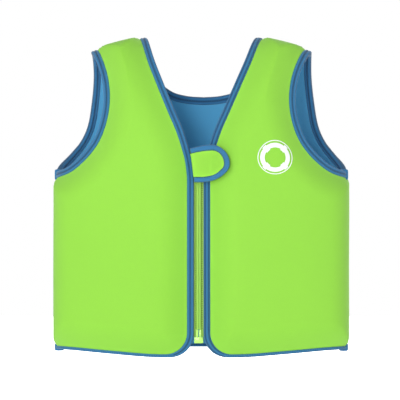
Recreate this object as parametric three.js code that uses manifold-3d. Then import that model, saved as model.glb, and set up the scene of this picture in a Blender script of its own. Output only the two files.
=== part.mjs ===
// A child's foam swim vest with a front zip and a safety flap over the top of the zip.
// Millimetres. +Z is up, the front faces -Y, and +X is the wearer's left.
import * as THREE from 'three';
import { mergeVertices } from 'three/addons/utils/BufferGeometryUtils.js';
import Module from 'manifold-3d';

const wasm = await Module();
wasm.setup();

// Overall sizes
const CHEST_WIDTH = 305; // over the side seams
const CHEST_DEPTH = 94; // inside, skin to skin, at the middle
const LENGTH = 336; // hem to the neck end of the shoulder seam
const ARCH_START = 220; // the walls stand upright below this and lean to the shoulders above it
const ARM_END_DROP = 11.5; // the arm end of the shoulder seam lies this far below its neck end

// Layers of the wall, outwards from the wearer
const LINING = 1.5;
const FOAM = 14;
const SHELL = 2.5;
const LAYER_GAP = 0.5; // clearance between layers
const GAP = 0.3; // clearance between neighbouring pieces
const PUFF_REACH = 30; // the wall reaches its full thickness this far in from an edge

// Bound edges
const BINDING_WIDTH = 7.1;
const HEM_BINDING_WIDTH = 3.4;
const BINDING_UNDER = 0.6; // how far the binding stands proud of the lining
const BINDING_OVER = 1.1; // and of the outer fabric

// Zip
const ZIP_OPENING = 10; // between the two front bindings
const CHAIN_WIDTH = 5.7;
const CHAIN_THICK = 2.4;
const TAPE_WIDTH = 14;
const TAPE_THICK = 1;
const BOX_BOTTOM = 15.5;
const BOX_HEIGHT = 6.4;
const PIN_LENGTH = 7.8;
const SLIDER_TOP = 214;
const SLIDER_LENGTH = 10;
const SLIDER_WIDTH = 8.6;
const PULL_LENGTH = 22;

// Safety flap
const TAB_REACH = 34.3; // from the zip's middle to the nose
const TAB_TOP = 223;
const TAB_BOTTOM = 184;
const TAB_BINDING_WIDTH = 5.6;
const TAB_BACKING = 1.2;
const PATCH = 1; // hook or loop patch

// Chest print
const PRINT_X = 77;
const PRINT_Z = 210;
const PRINT_RADIUS = 15;
const PRINT_BAND = 4.5;
const PRINT_THICK = 0.6;
const PRINT_CLEAR = 0.2; // more than GAP, since the print's facets span the fabric's

const PINCHED = LINING + LAYER_GAP + SHELL; // the wall where its layers meet, at an edge
const HALF_WIDTH = CHEST_WIDTH / 2 - PINCHED;
const HALF_DEPTH = CHEST_DEPTH / 2;
const BORDER_X = ZIP_OPENING / 2 + BINDING_WIDTH; // where the front fabric ends beside the zip
const NECK_END_X = 64.2;
const ARM_END_X = 108.5;
const SKIN_CROWN = LENGTH - PINCHED - BINDING_OVER; // the shoulder seam on the wearer's side
const CROWN_FALL = ARM_END_DROP / (ARM_END_X ** 2 - NECK_END_X ** 2);

const LIME = new THREE.Color(0.38, 0.79, 0.12);
const BLUE = new THREE.Color(0.06, 0.27, 0.45);
const WHITE = new THREE.Color(0.9, 0.92, 0.92);
const GREY = new THREE.Color(0.55, 0.57, 0.55);

// Every size below is measured up from the hem. The finished part hangs from its shoulder line.
const group = new THREE.Group();
const vest = new THREE.Group();
vest.position.z = -SKIN_CROWN;
group.add(vest);

// ---------------------------------------------------------------- helpers

function bisect(test, low, high) {
  for (let i = 0; i < 40; i += 1) {
    const middle = (low + high) / 2;
    if (test(middle)) high = middle;
    else low = middle;
  }
  return (low + high) / 2;
}

function signedVolume(geometry) {
  const p = geometry.attributes.position;
  const index = geometry.index;
  const [a, b, c] = [new THREE.Vector3(), new THREE.Vector3(), new THREE.Vector3()];
  let volume = 0;
  for (let i = 0; i < index.count; i += 3) {
    a.fromBufferAttribute(p, index.getX(i));
    b.fromBufferAttribute(p, index.getX(i + 1));
    c.fromBufferAttribute(p, index.getX(i + 2));
    volume += a.dot(b.cross(c)) / 6;
  }
  return volume;
}

// Keeps only positions, joins shared corners and turns every face outwards.
function closed(geometry) {
  geometry.deleteAttribute('normal');
  geometry.deleteAttribute('uv');
  const merged = mergeVertices(geometry, 1e-4);
  if (signedVolume(merged) < 0) {
    const index = merged.index;
    for (let i = 0; i < index.count; i += 3) {
      const first = index.getX(i);
      index.setX(i, index.getX(i + 1));
      index.setX(i + 1, first);
    }
  }
  return merged;
}

// Moves every corner of a geometry to where place(x, y, z) says.
function reshaped(geometry, place) {
  const p = geometry.attributes.position;
  for (let i = 0; i < p.count; i += 1) {
    const to = place(p.getX(i), p.getY(i), p.getZ(i));
    p.setXYZ(i, to.x, to.y, to.z);
  }
  return closed(geometry);
}

function addPiece(name, geometry, color, roughness = 0.8, metalness = 0) {
  const ready = geometry.clone();
  ready.computeVertexNormals();
  const mesh = new THREE.Mesh(ready, new THREE.MeshStandardMaterial({ color, roughness, metalness }));
  mesh.name = name;
  vest.add(mesh);
}

function toSolid(geometry) {
  const mesh = closed(geometry.clone());
  return new wasm.Manifold(
    new wasm.Mesh({
      numProp: 3,
      vertProperties: new Float32Array(mesh.attributes.position.array),
      triVerts: new Uint32Array(mesh.index.array),
    }),
  );
}

function toGeometry(solid) {
  const mesh = solid.getMesh();
  const geometry = new THREE.BufferGeometry();
  geometry.setAttribute('position', new THREE.BufferAttribute(new Float32Array(mesh.vertProperties), 3));
  geometry.setIndex(new THREE.BufferAttribute(new Uint32Array(mesh.triVerts), 1));
  return geometry;
}

function union(parts) {
  return toGeometry(parts.map(toSolid).reduce((whole, part) => whole.add(part)));
}

function cut(body, tools) {
  return toGeometry(tools.map(toSolid).reduce((left, tool) => left.subtract(tool), toSolid(body)));
}

// A box between two corners.
function block(x0, x1, y0, y1, z0, z1) {
  const box = new THREE.BoxGeometry(x1 - x0, y1 - y0, z1 - z0);
  return box.translate((x0 + x1) / 2, (y0 + y1) / 2, (z0 + z1) / 2);
}

// A box of columns by rows whose upper and lower faces split each cell alike. From the column
// mirrorFrom on, the cells split the other way, so that a sheet can be the same on both sides.
function sheetBox(columns, rows, mirrorFrom = columns) {
  const box = new THREE.BoxGeometry(1, 1, 1, columns, rows, 1);
  const [upper, under] = [4, 5];
  for (const side of [upper, under]) {
    const { start, count } = box.groups[side];
    for (let i = 0; i < count; i += 6) {
      const step = (i / 6) % columns;
      const column = side === under ? columns - 1 - step : step;
      if (column >= mirrorFrom !== (side === upper)) continue;
      const [a, b, d, , c] = [0, 1, 2, 3, 4].map((k) => box.index.getX(start + i + k));
      [a, b, c, a, c, d].forEach((corner, k) => box.index.setX(start + i + k, corner));
    }
  }
  return box;
}

function mirrored(geometry) {
  return closed(geometry.clone().scale(-1, 1, 1));
}

function turnedBack(geometry) {
  return closed(geometry.clone().scale(1, -1, 1));
}

// ---------------------------------------------------------------- the wall as a surface
// Places on the vest are given by girth (mm around the body from the front middle), height
// (mm up the wall, which leans in above ARCH_START) and lift (mm outwards from the wearer's side).

const section = new THREE.EllipseCurve(0, 0, HALF_WIDTH, HALF_DEPTH, Math.PI / 2, 0, true);
const SIDE_GIRTH = section.getLength();

function crown(x) {
  return SKIN_CROWN - CROWN_FALL * (x ** 2 - NECK_END_X ** 2);
}

const STRAP_X = (NECK_END_X + ARM_END_X) / 2;
const strapDepth = HALF_DEPTH * Math.sqrt(1 - (STRAP_X / HALF_WIDTH) ** 2);
const arch = new THREE.EllipseCurve(0, 0, strapDepth, crown(STRAP_X) - ARCH_START, 0, Math.PI / 2, false);
const SHOULDER = ARCH_START + arch.getLength(); // the height of the shoulder seam along the wall

function lean(height) {
  const along = THREE.MathUtils.clamp((height - ARCH_START) / (SHOULDER - ARCH_START), 0, 1);
  return arch.getUtoTmapping(along) * (Math.PI / 2);
}

function skin(girth, height) {
  const around = THREE.MathUtils.clamp(Math.abs(girth) / SIDE_GIRTH, 0, 1);
  const at = section.getPointAt(around);
  const x = Math.sign(girth) * at.x;
  const angle = lean(height);
  const rise = height <= ARCH_START ? height : ARCH_START + (crown(x) - ARCH_START) * Math.sin(angle);
  return new THREE.Vector3(x, -GAP / 2 - at.y * Math.cos(angle), rise);
}

function outward(girth, height) {
  const step = 0.05;
  const right = Math.min(girth + step, SIDE_GIRTH);
  const left = Math.max(girth - step, -SIDE_GIRTH);
  const top = Math.min(height + step, SHOULDER);
  const around = skin(right, height).sub(skin(left, height));
  const up = skin(girth, top).sub(skin(girth, height - step));
  return around.cross(up).normalize();
}

function onWall(girth, height, lift) {
  return skin(girth, height).addScaledVector(outward(girth, height), lift);
}

function girthAt(x) {
  return bisect((girth) => section.getPointAt(girth / SIDE_GIRTH).x > x, 0, SIDE_GIRTH);
}

function heightAt(x, z) {
  if (z <= ARCH_START) return z;
  return bisect((height) => skin(girthAt(x), height).z > z, ARCH_START, SHOULDER);
}

// A place on the wall from how it looks from the front.
function seenAt([x, z]) {
  return new THREE.Vector2(girthAt(x), heightAt(x, z));
}

function pathThrough(places) {
  return new THREE.SplineCurve(places);
}

function pathOf(...curves) {
  const path = new THREE.CurvePath();
  curves.forEach((curve) => path.add(curve));
  return path;
}

// ---------------------------------------------------------------- outlines of the panels

const HEM_SIDE = 12;
const HEM_FRONT = 3.6;
const HEM_BACK = 13.4;
const ARMPIT = 188;
const HEM_CORNER_RADIUS = 23;
const NECK_START = 190;
const ROW_SPLIT = 118; // the row from the armpit meets the front edge here

const armpit = new THREE.Vector2(SIDE_GIRTH, ARMPIT);
const neckEnd = new THREE.Vector2(girthAt(NECK_END_X), SHOULDER);
const armEnd = new THREE.Vector2(girthAt(ARM_END_X), SHOULDER);

const sideSeam = new THREE.LineCurve(new THREE.Vector2(SIDE_GIRTH, HEM_SIDE), armpit);

const frontArmhole = pathThrough([
  armpit,
  ...[[136, 193.5], [120, 206], [105.5, 224], [96.5, 246], [93, 271], [96.5, 297]].map(seenAt),
  armEnd,
]);

const backArmhole = pathThrough([
  armpit,
  ...[[145, 196], [134, 208.5], [123, 223], [114.5, 242], [110, 268], [107.5, 297]].map(seenAt),
  armEnd,
]);

const frontEdge = new THREE.LineCurve(
  new THREE.Vector2(BORDER_X, HEM_FRONT),
  new THREE.Vector2(BORDER_X, ROW_SPLIT),
);

const frontNeck = pathOf(
  new THREE.LineCurve(new THREE.Vector2(BORDER_X, ROW_SPLIT), new THREE.Vector2(BORDER_X, NECK_START)),
  pathThrough([
    new THREE.Vector2(BORDER_X, NECK_START),
    ...[[15, 210], [22.3, 234], [33.4, 260], [44.5, 286], [55, 311]].map(seenAt),
    neckEnd,
  ]),
);

const backNeck = pathThrough([
  neckEnd,
  ...[[60, 305], [52, 286], [37, 273], [19, 267.5]].map(seenAt),
  seenAt([0, 266]),
]);

const frontHem = pathThrough([
  new THREE.Vector2(SIDE_GIRTH, HEM_SIDE),
  new THREE.Vector2(girthAt(130), 10.7),
  new THREE.Vector2(girthAt(90), 7.2),
  new THREE.Vector2(girthAt(50), HEM_FRONT + 0.5),
  new THREE.Vector2(BORDER_X, HEM_FRONT),
]);

// Blends four edges into a point of the patch between them.
function patchPoint(edges, u, v) {
  const left = edges.left(v);
  const right = edges.right(v);
  const bottom = edges.bottom(u);
  const top = edges.top(u);
  const mix = (key) => {
    const across = (1 - u) * left[key] + u * right[key];
    const up = (1 - v) * bottom[key] + v * top[key];
    const low = (1 - u) * edges.left(0)[key] + u * edges.right(0)[key];
    const high = (1 - u) * edges.left(1)[key] + u * edges.right(1)[key];
    return across + up - (1 - v) * low - v * high;
  };
  return new THREE.Vector2(mix('x'), mix('y'));
}

// Rounds the patch's lower front corner: a square of the patch becomes a quarter disc.
function roundedCorner(place) {
  const r = HEM_CORNER_RADIUS;
  const across = BORDER_X + r - place.x;
  const down = HEM_FRONT + r - place.y;
  if (across <= 0 || down <= 0) return place;
  const a = across * Math.sqrt(1 - down ** 2 / (2 * r ** 2));
  const d = down * Math.sqrt(1 - across ** 2 / (2 * r ** 2));
  return new THREE.Vector2(BORDER_X + r - a, HEM_FRONT + r - d);
}

const INSETS = [0, 6, 11, 24]; // grid lines near an edge, in mm
const INSET_LIMITS = [0, 0.12, 0.24, 0.38]; // and the most they may be of a narrow row

// Grid lines across a row of this length: close at the ends, even between them.
function linesAcross(length, middle) {
  const near = INSETS.map((inset, i) => Math.min(inset / length, INSET_LIMITS[i]));
  const last = near[near.length - 1];
  const between = [];
  for (let i = 1; i <= middle; i += 1) between.push(last + ((1 - 2 * last) * i) / (middle + 1));
  return [...near, ...between, ...near.map((share) => 1 - share).reverse()];
}

// Rows of a panel: evenly spaced below the row that leaves the armpit, and close together just
// above it, where the armhole turns sharply, and at the shoulder.
const ARMPIT_SHARE = 0.42;
const LOWER_ROWS = [0, 0.04, 0.075, 0.16, 0.44, 0.72, 1];
const UPPER_ROWS = [0.04, 0.09, 0.15, 0.23, 0.35, 0.48, 0.62, 0.76, 0.88, 0.945, 0.97, 1];
const ARMPIT_ROW = LOWER_ROWS.length - 1;
const ROWS = [
  ...LOWER_ROWS.map((share) => share * ARMPIT_SHARE),
  ...UPPER_ROWS.map((share) => ARMPIT_SHARE + share * (1 - ARMPIT_SHARE)),
];

function twoPart(lower, upper) {
  return (v) => {
    if (v <= ARMPIT_SHARE) return lower.getPointAt(Math.min(v / ARMPIT_SHARE, 1));
    return upper.getPoint(Math.min((v - ARMPIT_SHARE) / (1 - ARMPIT_SHARE), 1));
  };
}

function frontGrid() {
  const edges = {
    left: twoPart(sideSeam, pathOf(frontArmhole)),
    right: twoPart(frontEdge, frontNeck),
    bottom: (u) => frontHem.getPointAt(u),
    top: (u) => armEnd.clone().lerp(neckEnd, u),
  };
  return ROWS.map((v) => {
    const width = edges.left(v).distanceTo(edges.right(v));
    return linesAcross(width, 3).map((u) => roundedCorner(patchPoint(edges, u, v)));
  });
}

const STRAP_SHARE = 0.14;

function backGrid() {
  const flip = (place) => new THREE.Vector2(-place.x, place.y);
  const side = twoPart(sideSeam, pathOf(backArmhole));
  const topHalf = (u) => {
    if (u <= STRAP_SHARE) return armEnd.clone().lerp(neckEnd, u / STRAP_SHARE);
    return backNeck.getPointAt(Math.min((u - STRAP_SHARE) / (0.5 - STRAP_SHARE), 1));
  };
  const edges = {
    left: side,
    right: (v) => flip(side(v)),
    bottom: (u) => {
      const share = 2 * Math.abs(u - 0.5);
      const height = HEM_BACK + (HEM_SIDE - HEM_BACK) * share ** 2;
      return new THREE.Vector2(Math.sign(0.5 - u) * share * SIDE_GIRTH, height);
    },
    top: (u) => (u <= 0.5 ? topHalf(u) : flip(topHalf(1 - u))),
  };
  const half = [0, 0.02, 0.036, 0.076, STRAP_SHARE, 0.23, 0.32, 0.41];
  const columns = [...half, 0.5, ...half.map((share) => 1 - share).reverse()];
  return ROWS.map((v) => columns.map((u) => patchPoint(edges, u, v)));
}

// ---------------------------------------------------------------- layers

function borderOf(grid) {
  const last = grid.length - 1;
  const right = grid.map((row) => row[row.length - 1]);
  const left = grid.map((row) => row[0]);
  return [...grid[0], ...right.slice(1), ...grid[last].slice(0, -1).reverse(), ...left.slice(1, -1).reverse()];
}

function distanceToBorder(border, place) {
  let nearest = Infinity;
  border.forEach((start, i) => {
    const end = border[(i + 1) % border.length];
    const along = end.clone().sub(start);
    const share = THREE.MathUtils.clamp(place.clone().sub(start).dot(along) / along.lengthSq(), 0, 1);
    nearest = Math.min(nearest, start.clone().addScaledVector(along, share).distanceTo(place));
  });
  return nearest;
}

const LEAST_RISE = 0.2; // of the full puff, where the foam ends

// How far the outer fabric stands off the lining, as a share of its most.
function riseAt(border, place) {
  return Math.sin((Math.PI / 2) * Math.min(distanceToBorder(border, place) / PUFF_REACH, 1));
}

function underShell(border, place, ring) {
  const rise = ring >= 2 ? Math.max(riseAt(border, place), LEAST_RISE) : riseAt(border, place);
  return LINING + LAYER_GAP + (FOAM + LAYER_GAP) * rise;
}

// A layer of a panel: one solid over the grid, between two lifts.
function layer(grid, margin, low, high, symmetric) {
  const border = borderOf(grid);
  const rows = grid.length - 1 - 2 * margin;
  const columns = grid[0].length - 1 - 2 * margin;
  return reshaped(sheetBox(columns, rows, symmetric ? columns / 2 : columns), (x, y, z) => {
    const column = Math.round((x + 0.5) * columns) + margin;
    const row = Math.round((y + 0.5) * rows) + margin;
    const ring = Math.min(row, column, grid.length - 1 - row, grid[0].length - 1 - column);
    const place = grid[row][column];
    const lift = (z > 0 ? high : low)(border, place, ring);
    return onWall(place.x, place.y, lift);
  });
}

const FOAM_MARGIN = 2; // grid lines from the edge of the panel to the edge of the foam

function layersOf(grid, symmetric) {
  const foamTop = (...at) => underShell(...at) - LAYER_GAP;
  const shellSkin = (...at) => underShell(...at) + SHELL;
  return {
    lining: layer(grid, 0, () => 0, () => LINING, symmetric),
    foam: layer(grid, FOAM_MARGIN, () => LINING + LAYER_GAP, foamTop, symmetric),
    shell: layer(grid, 0, underShell, shellSkin, symmetric),
  };
}

// ---------------------------------------------------------------- bindings

// Section of a folded tape: along is 0 at the fabric and 1 at the outer edge, lift is from the lining.
function tapeSection() {
  const low = -BINDING_UNDER;
  const high = PINCHED + BINDING_OVER;
  const shape = new THREE.Shape();
  shape.moveTo(0, low + 0.8);
  [[0.2, low], [0.78, low], [1, low + 1.7], [1, high - 1.7], [0.78, high], [0.2, high], [0, high - 0.8]]
    .forEach(([along, lift]) => shape.lineTo(along, lift));
  shape.closePath();
  return shape;
}

// A binding along places of the wall. outwards(i) is the direction away from the fabric at station i.
function binding(places, outwards, width) {
  const steps = places.length - 1;
  const bar = new THREE.ExtrudeGeometry(tapeSection(), { depth: steps, steps, bevelEnabled: false });
  return reshaped(bar, (along, lift, z) => {
    const i = Math.round(z);
    const reach = GAP + along * (width(i) - GAP);
    const at = places[i].clone().addScaledVector(outwards(i), reach);
    return onWall(at.x, at.y, lift);
  });
}

// The direction away from the fabric, square to the path; turn is 1 or -1. Ends follow the seams.
function squareTo(places, turn, start, end) {
  return (i) => {
    if (i === 0) return start;
    if (i === places.length - 1) return end;
    const along = places[i + 1].clone().sub(places[i - 1]).normalize();
    return new THREE.Vector2(along.y * turn, -along.x * turn);
  };
}

const OUT_GIRTH = new THREE.Vector2(1, 0);
const IN_GIRTH = new THREE.Vector2(-1, 0);
const UP = new THREE.Vector2(0, 1);
const DOWN = new THREE.Vector2(0, -1);

function armholeBinding(grid) {
  const places = grid.slice(ARMPIT_ROW).map((row) => row[0]);
  return binding(places, squareTo(places, 1, UP, OUT_GIRTH), () => BINDING_WIDTH);
}

function frontBinding(grid) {
  const hem = grid[0].slice(0, -1);
  const edge = grid.map((row) => row[row.length - 1]);
  const places = [...hem, ...edge];
  const corner = HEM_FRONT + HEM_CORNER_RADIUS;
  const width = (i) => {
    const height = i < hem.length ? HEM_FRONT : Math.min(places[i].y, corner);
    const side = i < hem.length && places[i].x > BORDER_X + HEM_CORNER_RADIUS;
    const share = side ? 0 : (height - HEM_FRONT) / HEM_CORNER_RADIUS;
    return THREE.MathUtils.lerp(HEM_BINDING_WIDTH, BINDING_WIDTH, Math.sqrt(share));
  };
  return binding(places, squareTo(places, -1, DOWN, IN_GIRTH), width);
}

function backNeckBinding(grid) {
  const top = grid[grid.length - 1];
  const start = Math.round(top.findIndex((place) => place.distanceTo(neckEnd) < 0.01));
  const places = top.slice(start, top.length - start);
  return binding(places, squareTo(places, 1, IN_GIRTH, OUT_GIRTH), () => BINDING_WIDTH);
}

function backHemBinding(grid) {
  const places = grid[0];
  return binding(places, squareTo(places, -1, DOWN, DOWN), () => HEM_BINDING_WIDTH);
}

// ---------------------------------------------------------------- panels

const front = frontGrid();
const frontLayers = layersOf(front, false);
const back = backGrid();
const backLayers = layersOf(back, true);

for (const [layerName, color] of [['shell', LIME], ['foam', GREY], ['lining', BLUE]]) {
  addPiece(`right_front_${layerName}`, mirrored(frontLayers[layerName]), color);
  addPiece(`left_front_${layerName}`, frontLayers[layerName], color);
  addPiece(`back_${layerName}`, turnedBack(backLayers[layerName]), color);
}

const frontEdgeBinding = frontBinding(front);
addPiece('right_front_binding', mirrored(frontEdgeBinding), BLUE);
addPiece('left_front_binding', frontEdgeBinding, BLUE);

const frontArmholeBinding = armholeBinding(front);
addPiece('right_front_armhole_binding', mirrored(frontArmholeBinding), BLUE);
addPiece('left_front_armhole_binding', frontArmholeBinding, BLUE);

const backArmholeBinding = turnedBack(armholeBinding(back));
addPiece('right_back_armhole_binding', mirrored(backArmholeBinding), BLUE);
addPiece('left_back_armhole_binding', backArmholeBinding, BLUE);

addPiece('back_neck_binding', turnedBack(backNeckBinding(back)), BLUE);
addPiece('back_hem_binding', turnedBack(backHemBinding(back)), BLUE);

// ---------------------------------------------------------------- zip
// Lift here is from the wearer's side of the wall at the front middle.

const CHAIN_LOW = -0.6; // the chain's wearer's side
const CHAIN_TOP = CHAIN_LOW + CHAIN_THICK;
const TAPE_TOP_LIFT = CHAIN_LOW - GAP;
const TAPE_LOW = TAPE_TOP_LIFT - TAPE_THICK;
const TAPE_EDGE = 1.3; // the tape starts this far from the zip's middle
const BOX_TOP = BOX_BOTTOM + BOX_HEIGHT;
const PIN_TOP = BOX_TOP + PIN_LENGTH;
const HALF_CHAIN = CHAIN_WIDTH / 2;
const SLIDER_BOTTOM = SLIDER_TOP - SLIDER_LENGTH;
const SLIDER_MIDDLE = (SLIDER_TOP + SLIDER_BOTTOM) / 2;
const DIAMOND_HEIGHT = 2;

function frontY(lift) {
  return -GAP / 2 - HALF_DEPTH - lift;
}

// A strip of the left front, from one girth to another.
function strip(girth0, girth1, height0, height1, lift0, lift1, columns, rows) {
  const mix = THREE.MathUtils.lerp;
  return reshaped(sheetBox(columns, rows), (x, y, z) =>
    onWall(mix(girth0, girth1, x + 0.5), mix(height0, height1, y + 0.5), mix(lift0, lift1, z + 0.5)));
}

const tape = strip(TAPE_EDGE, TAPE_WIDTH, BOX_TOP + GAP, SLIDER_TOP + 3, TAPE_LOW, TAPE_TOP_LIFT, 3, 4);
addPiece('right_zip_tape', mirrored(tape), LIME);
addPiece('left_zip_tape', tape, LIME);

const chainTop = SLIDER_TOP - DIAMOND_HEIGHT - GAP;
const chain = strip(GAP / 2, HALF_CHAIN, PIN_TOP + GAP, chainTop, CHAIN_LOW, CHAIN_TOP, 1, 4);
addPiece('right_zip_chain', mirrored(chain), LIME, 0.5);
addPiece('left_zip_chain', chain, LIME, 0.5);

const STOP_HEIGHT = 2.4;
const stopBottom = SLIDER_TOP + GAP;
const stop = block(1.6, 3.9, frontY(CHAIN_TOP - 0.4), frontY(CHAIN_LOW), stopBottom, stopBottom + STOP_HEIGHT);
addPiece('right_top_stop', mirrored(stop), LIME, 0.5);
addPiece('left_top_stop', stop, LIME, 0.5);

// The pin of the left half stands in the box; the box carries its own twin of it on the right.
const PIN_INNER = 0.4;
const PIN_OUTER = HALF_CHAIN;
const PIN_SEAT = BOX_BOTTOM + 2;
const pin = block(PIN_INNER, PIN_OUTER, frontY(CHAIN_TOP), frontY(CHAIN_LOW), PIN_SEAT, PIN_TOP);
addPiece('insertion_pin', pin, LIME, 0.5);

const BOX_WALL = 1.2;
const boxFront = frontY(CHAIN_TOP + GAP + BOX_WALL);
const boxBack = frontY(CHAIN_LOW - GAP - BOX_WALL);
const boxSide = ZIP_OPENING / 2 - GAP;
const boxBody = block(-boxSide, boxSide, boxFront, boxBack, BOX_BOTTOM, BOX_TOP);
const socket = block(
  PIN_INNER - GAP,
  boxSide + 1,
  frontY(CHAIN_TOP + GAP),
  frontY(CHAIN_LOW - GAP),
  PIN_SEAT - GAP,
  BOX_TOP + 1,
);
const boxPin = block(-PIN_OUTER, -PIN_INNER, frontY(CHAIN_TOP), frontY(CHAIN_LOW), BOX_TOP - 1, PIN_TOP);
addPiece('retainer_box', union([cut(boxBody, [socket]), boxPin]), LIME, 0.5);

// ---------------------------------------------------------------- slider

const PLATE = 1.2;
const PLATE_GAP = 0.35;
const topPlateLow = CHAIN_TOP + PLATE_GAP;
const topPlateHigh = topPlateLow + PLATE;
const lowPlateHigh = TAPE_LOW - PLATE_GAP;
const lowPlateLow = lowPlateHigh - PLATE;
const FLANGE = 0.75;
const DIAMOND_HALF = TAPE_EDGE - 0.35;
const BAIL_WIDTH = 1.2;
const BAIL_SPAN = 7.4;
const BAIL_THICK = 1.1;
const BAR = 1.4; // the pull's crossbar, which turns under the bail
const barLift = topPlateHigh + 0.45 + BAR / 2;
const barZ = SLIDER_MIDDLE - 1;
const bailLow = barLift + BAR / 2 + GAP;
const bailHigh = bailLow + BAIL_THICK;

// A slider plate: wide at the top where the chains part, narrower below, with cut corners.
function sliderPlate(low, high) {
  const shape = new THREE.Shape();
  const half = SLIDER_WIDTH / 2;
  const rise = SLIDER_LENGTH / 2;
  const outline = [
    [-half + 1.4, rise], [-half, rise - 1.4], [-half + 0.4, -rise + 0.8], [-half + 1.2, -rise],
    [half - 1.2, -rise], [half - 0.4, -rise + 0.8], [half, rise - 1.4], [half - 1.4, rise],
  ];
  shape.setFromPoints(outline.map(([x, z]) => new THREE.Vector2(x, z)));
  const plate = new THREE.ExtrudeGeometry(shape, { depth: high - low, bevelEnabled: false });
  return plate.rotateX(Math.PI / 2).translate(0, frontY(low), SLIDER_MIDDLE);
}

function sliderBody() {
  const half = SLIDER_WIDTH / 2 - 0.4;
  const flangeLow = SLIDER_BOTTOM + 0.8;
  const flangeHigh = SLIDER_TOP - 1.4;
  const flanges = [-1, 1].flatMap((side) => {
    const [x0, x1] = side < 0 ? [-half, -half + FLANGE] : [half - FLANGE, half];
    return [
      block(x0, x1, frontY(topPlateLow + 0.2), frontY(CHAIN_LOW), flangeLow, flangeHigh),
      block(x0, x1, frontY(TAPE_LOW - GAP), frontY(lowPlateHigh - 0.2), flangeLow, flangeHigh),
    ];
  });
  const diamond = block(
    -DIAMOND_HALF,
    DIAMOND_HALF,
    frontY(topPlateLow + 0.2),
    frontY(lowPlateHigh - 0.2),
    SLIDER_TOP - DIAMOND_HEIGHT,
    SLIDER_TOP,
  );
  const bailX = BAIL_WIDTH / 2;
  const bailTop = SLIDER_MIDDLE + BAIL_SPAN / 2;
  const bailBottom = SLIDER_MIDDLE - BAIL_SPAN / 2;
  const bail = [
    block(-bailX, bailX, frontY(bailHigh), frontY(bailLow), bailBottom, bailTop),
    block(-bailX, bailX, frontY(bailLow + 0.2), frontY(topPlateHigh - 0.2), bailTop - BAIL_THICK, bailTop),
    block(-bailX, bailX, frontY(bailLow + 0.2), frontY(topPlateHigh - 0.2), bailBottom, bailBottom + BAIL_THICK),
  ];
  return union([
    sliderPlate(topPlateLow, topPlateHigh),
    sliderPlate(lowPlateLow, lowPlateHigh),
    diamond,
    ...flanges,
    ...bail,
  ]);
}

addPiece('zip_slider', sliderBody(), LIME, 0.4, 0.3);

// The pull: a plate with a slot. The end of the slot is the crossbar that passes under the bail.
function sliderPull() {
  const half = 3;
  const shape = new THREE.Shape();
  const bottom = barZ + BAR / 2 - PULL_LENGTH;
  shape.moveTo(-half, barZ + BAR / 2);
  shape.lineTo(-half, bottom + half);
  shape.absarc(0, bottom + half, half, Math.PI, 2 * Math.PI, false);
  shape.lineTo(half, barZ + BAR / 2);
  shape.closePath();
  const plate = new THREE.ExtrudeGeometry(shape, { depth: BAR, bevelEnabled: false, curveSegments: 8 });
  plate.rotateX(Math.PI / 2).translate(0, frontY(barLift - BAR / 2), 0);
  const slotHalf = BAIL_WIDTH / 2 + 0.7;
  const slotTop = barZ - BAR / 2;
  const slot = block(-slotHalf, slotHalf, frontY(barLift + BAR), frontY(barLift - BAR), slotTop - 5.6, slotTop);
  return cut(plate, [slot]);
}

addPiece('slider_pull', sliderPull(), LIME, 0.4, 0.3);

// ---------------------------------------------------------------- safety flap

const TAB_HEIGHT = (TAB_TOP - TAB_BOTTOM) / 2; // half of it
const TAB_MIDDLE = (TAB_TOP + TAB_BOTTOM) / 2;
const TAB_CLEAR = bailHigh + 0.6; // the tab's underside over the slider
const ROOT_CLEAR = TAB_CLEAR - 1.4; // and at its root, beside the right front's binding
const ROOT_RAMP = 1.2; // how far from the root the underside reaches its full height
const ROOT_LOW = -BORDER_X + BINDING_WIDTH + 2 * GAP;
const ROOT_SLOPE = 0.118; // the root leans away from the middle with the neckline, per mm
const NOSE_START = 14;

function rootAt(height) {
  return ROOT_LOW - ROOT_SLOPE * (height - TAB_BOTTOM);
}

const leftBorder = borderOf(front);
const leftShell = new THREE.Mesh(frontLayers.shell, new THREE.MeshBasicMaterial({ side: THREE.DoubleSide }));

// How high the left front's outer fabric stands at a place: the smooth puff, or the faces of the
// fabric's own solid where they stand higher. It is 0 over the zip.
function shellTop(place) {
  if (place.x < BORDER_X) return 0;
  const ray = new THREE.Raycaster(onWall(place.x, place.y, LINING), outward(place.x, place.y));
  const hits = ray.intersectObject(leftShell);
  const faces = hits.length ? LINING + hits[hits.length - 1].distance : 0;
  const puff = LINING + LAYER_GAP + (FOAM + LAYER_GAP) * riseAt(leftBorder, place) + SHELL;
  return Math.max(faces, puff);
}

const STACK = 3 * GAP + 2 * PATCH + 0.3; // loop patch and hook patch between the tab and the front

function tabUnderside(place) {
  const fromRoot = place.x - rootAt(place.y);
  const overZip = THREE.MathUtils.lerp(ROOT_CLEAR, TAB_CLEAR, THREE.MathUtils.clamp(fromRoot / ROOT_RAMP, 0, 1));
  return Math.max(overZip, shellTop(place) + STACK);
}

// The tab's outline: straight to NOSE_START, then a half ellipse. inset shrinks it all round.
function tabPlace(along, up, inset) {
  const reach = TAB_REACH - inset;
  const half = TAB_HEIGHT - inset;
  const straight = 0.45; // share of the columns before the nose
  const root = rootAt(TAB_MIDDLE + up * half);
  if (along <= straight) {
    const girth = THREE.MathUtils.lerp(root, NOSE_START, along / straight);
    return new THREE.Vector2(girth, TAB_MIDDLE + up * half);
  }
  const x = (along - straight) / (1 - straight);
  const girth = NOSE_START + (reach - NOSE_START) * x * Math.sqrt(1 - up ** 2 / 2);
  return new THREE.Vector2(girth, TAB_MIDDLE + up * half * Math.sqrt(1 - x ** 2 / 2));
}

const TAB_COLUMNS = 11;
const TAB_ROWS = 6;

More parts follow.
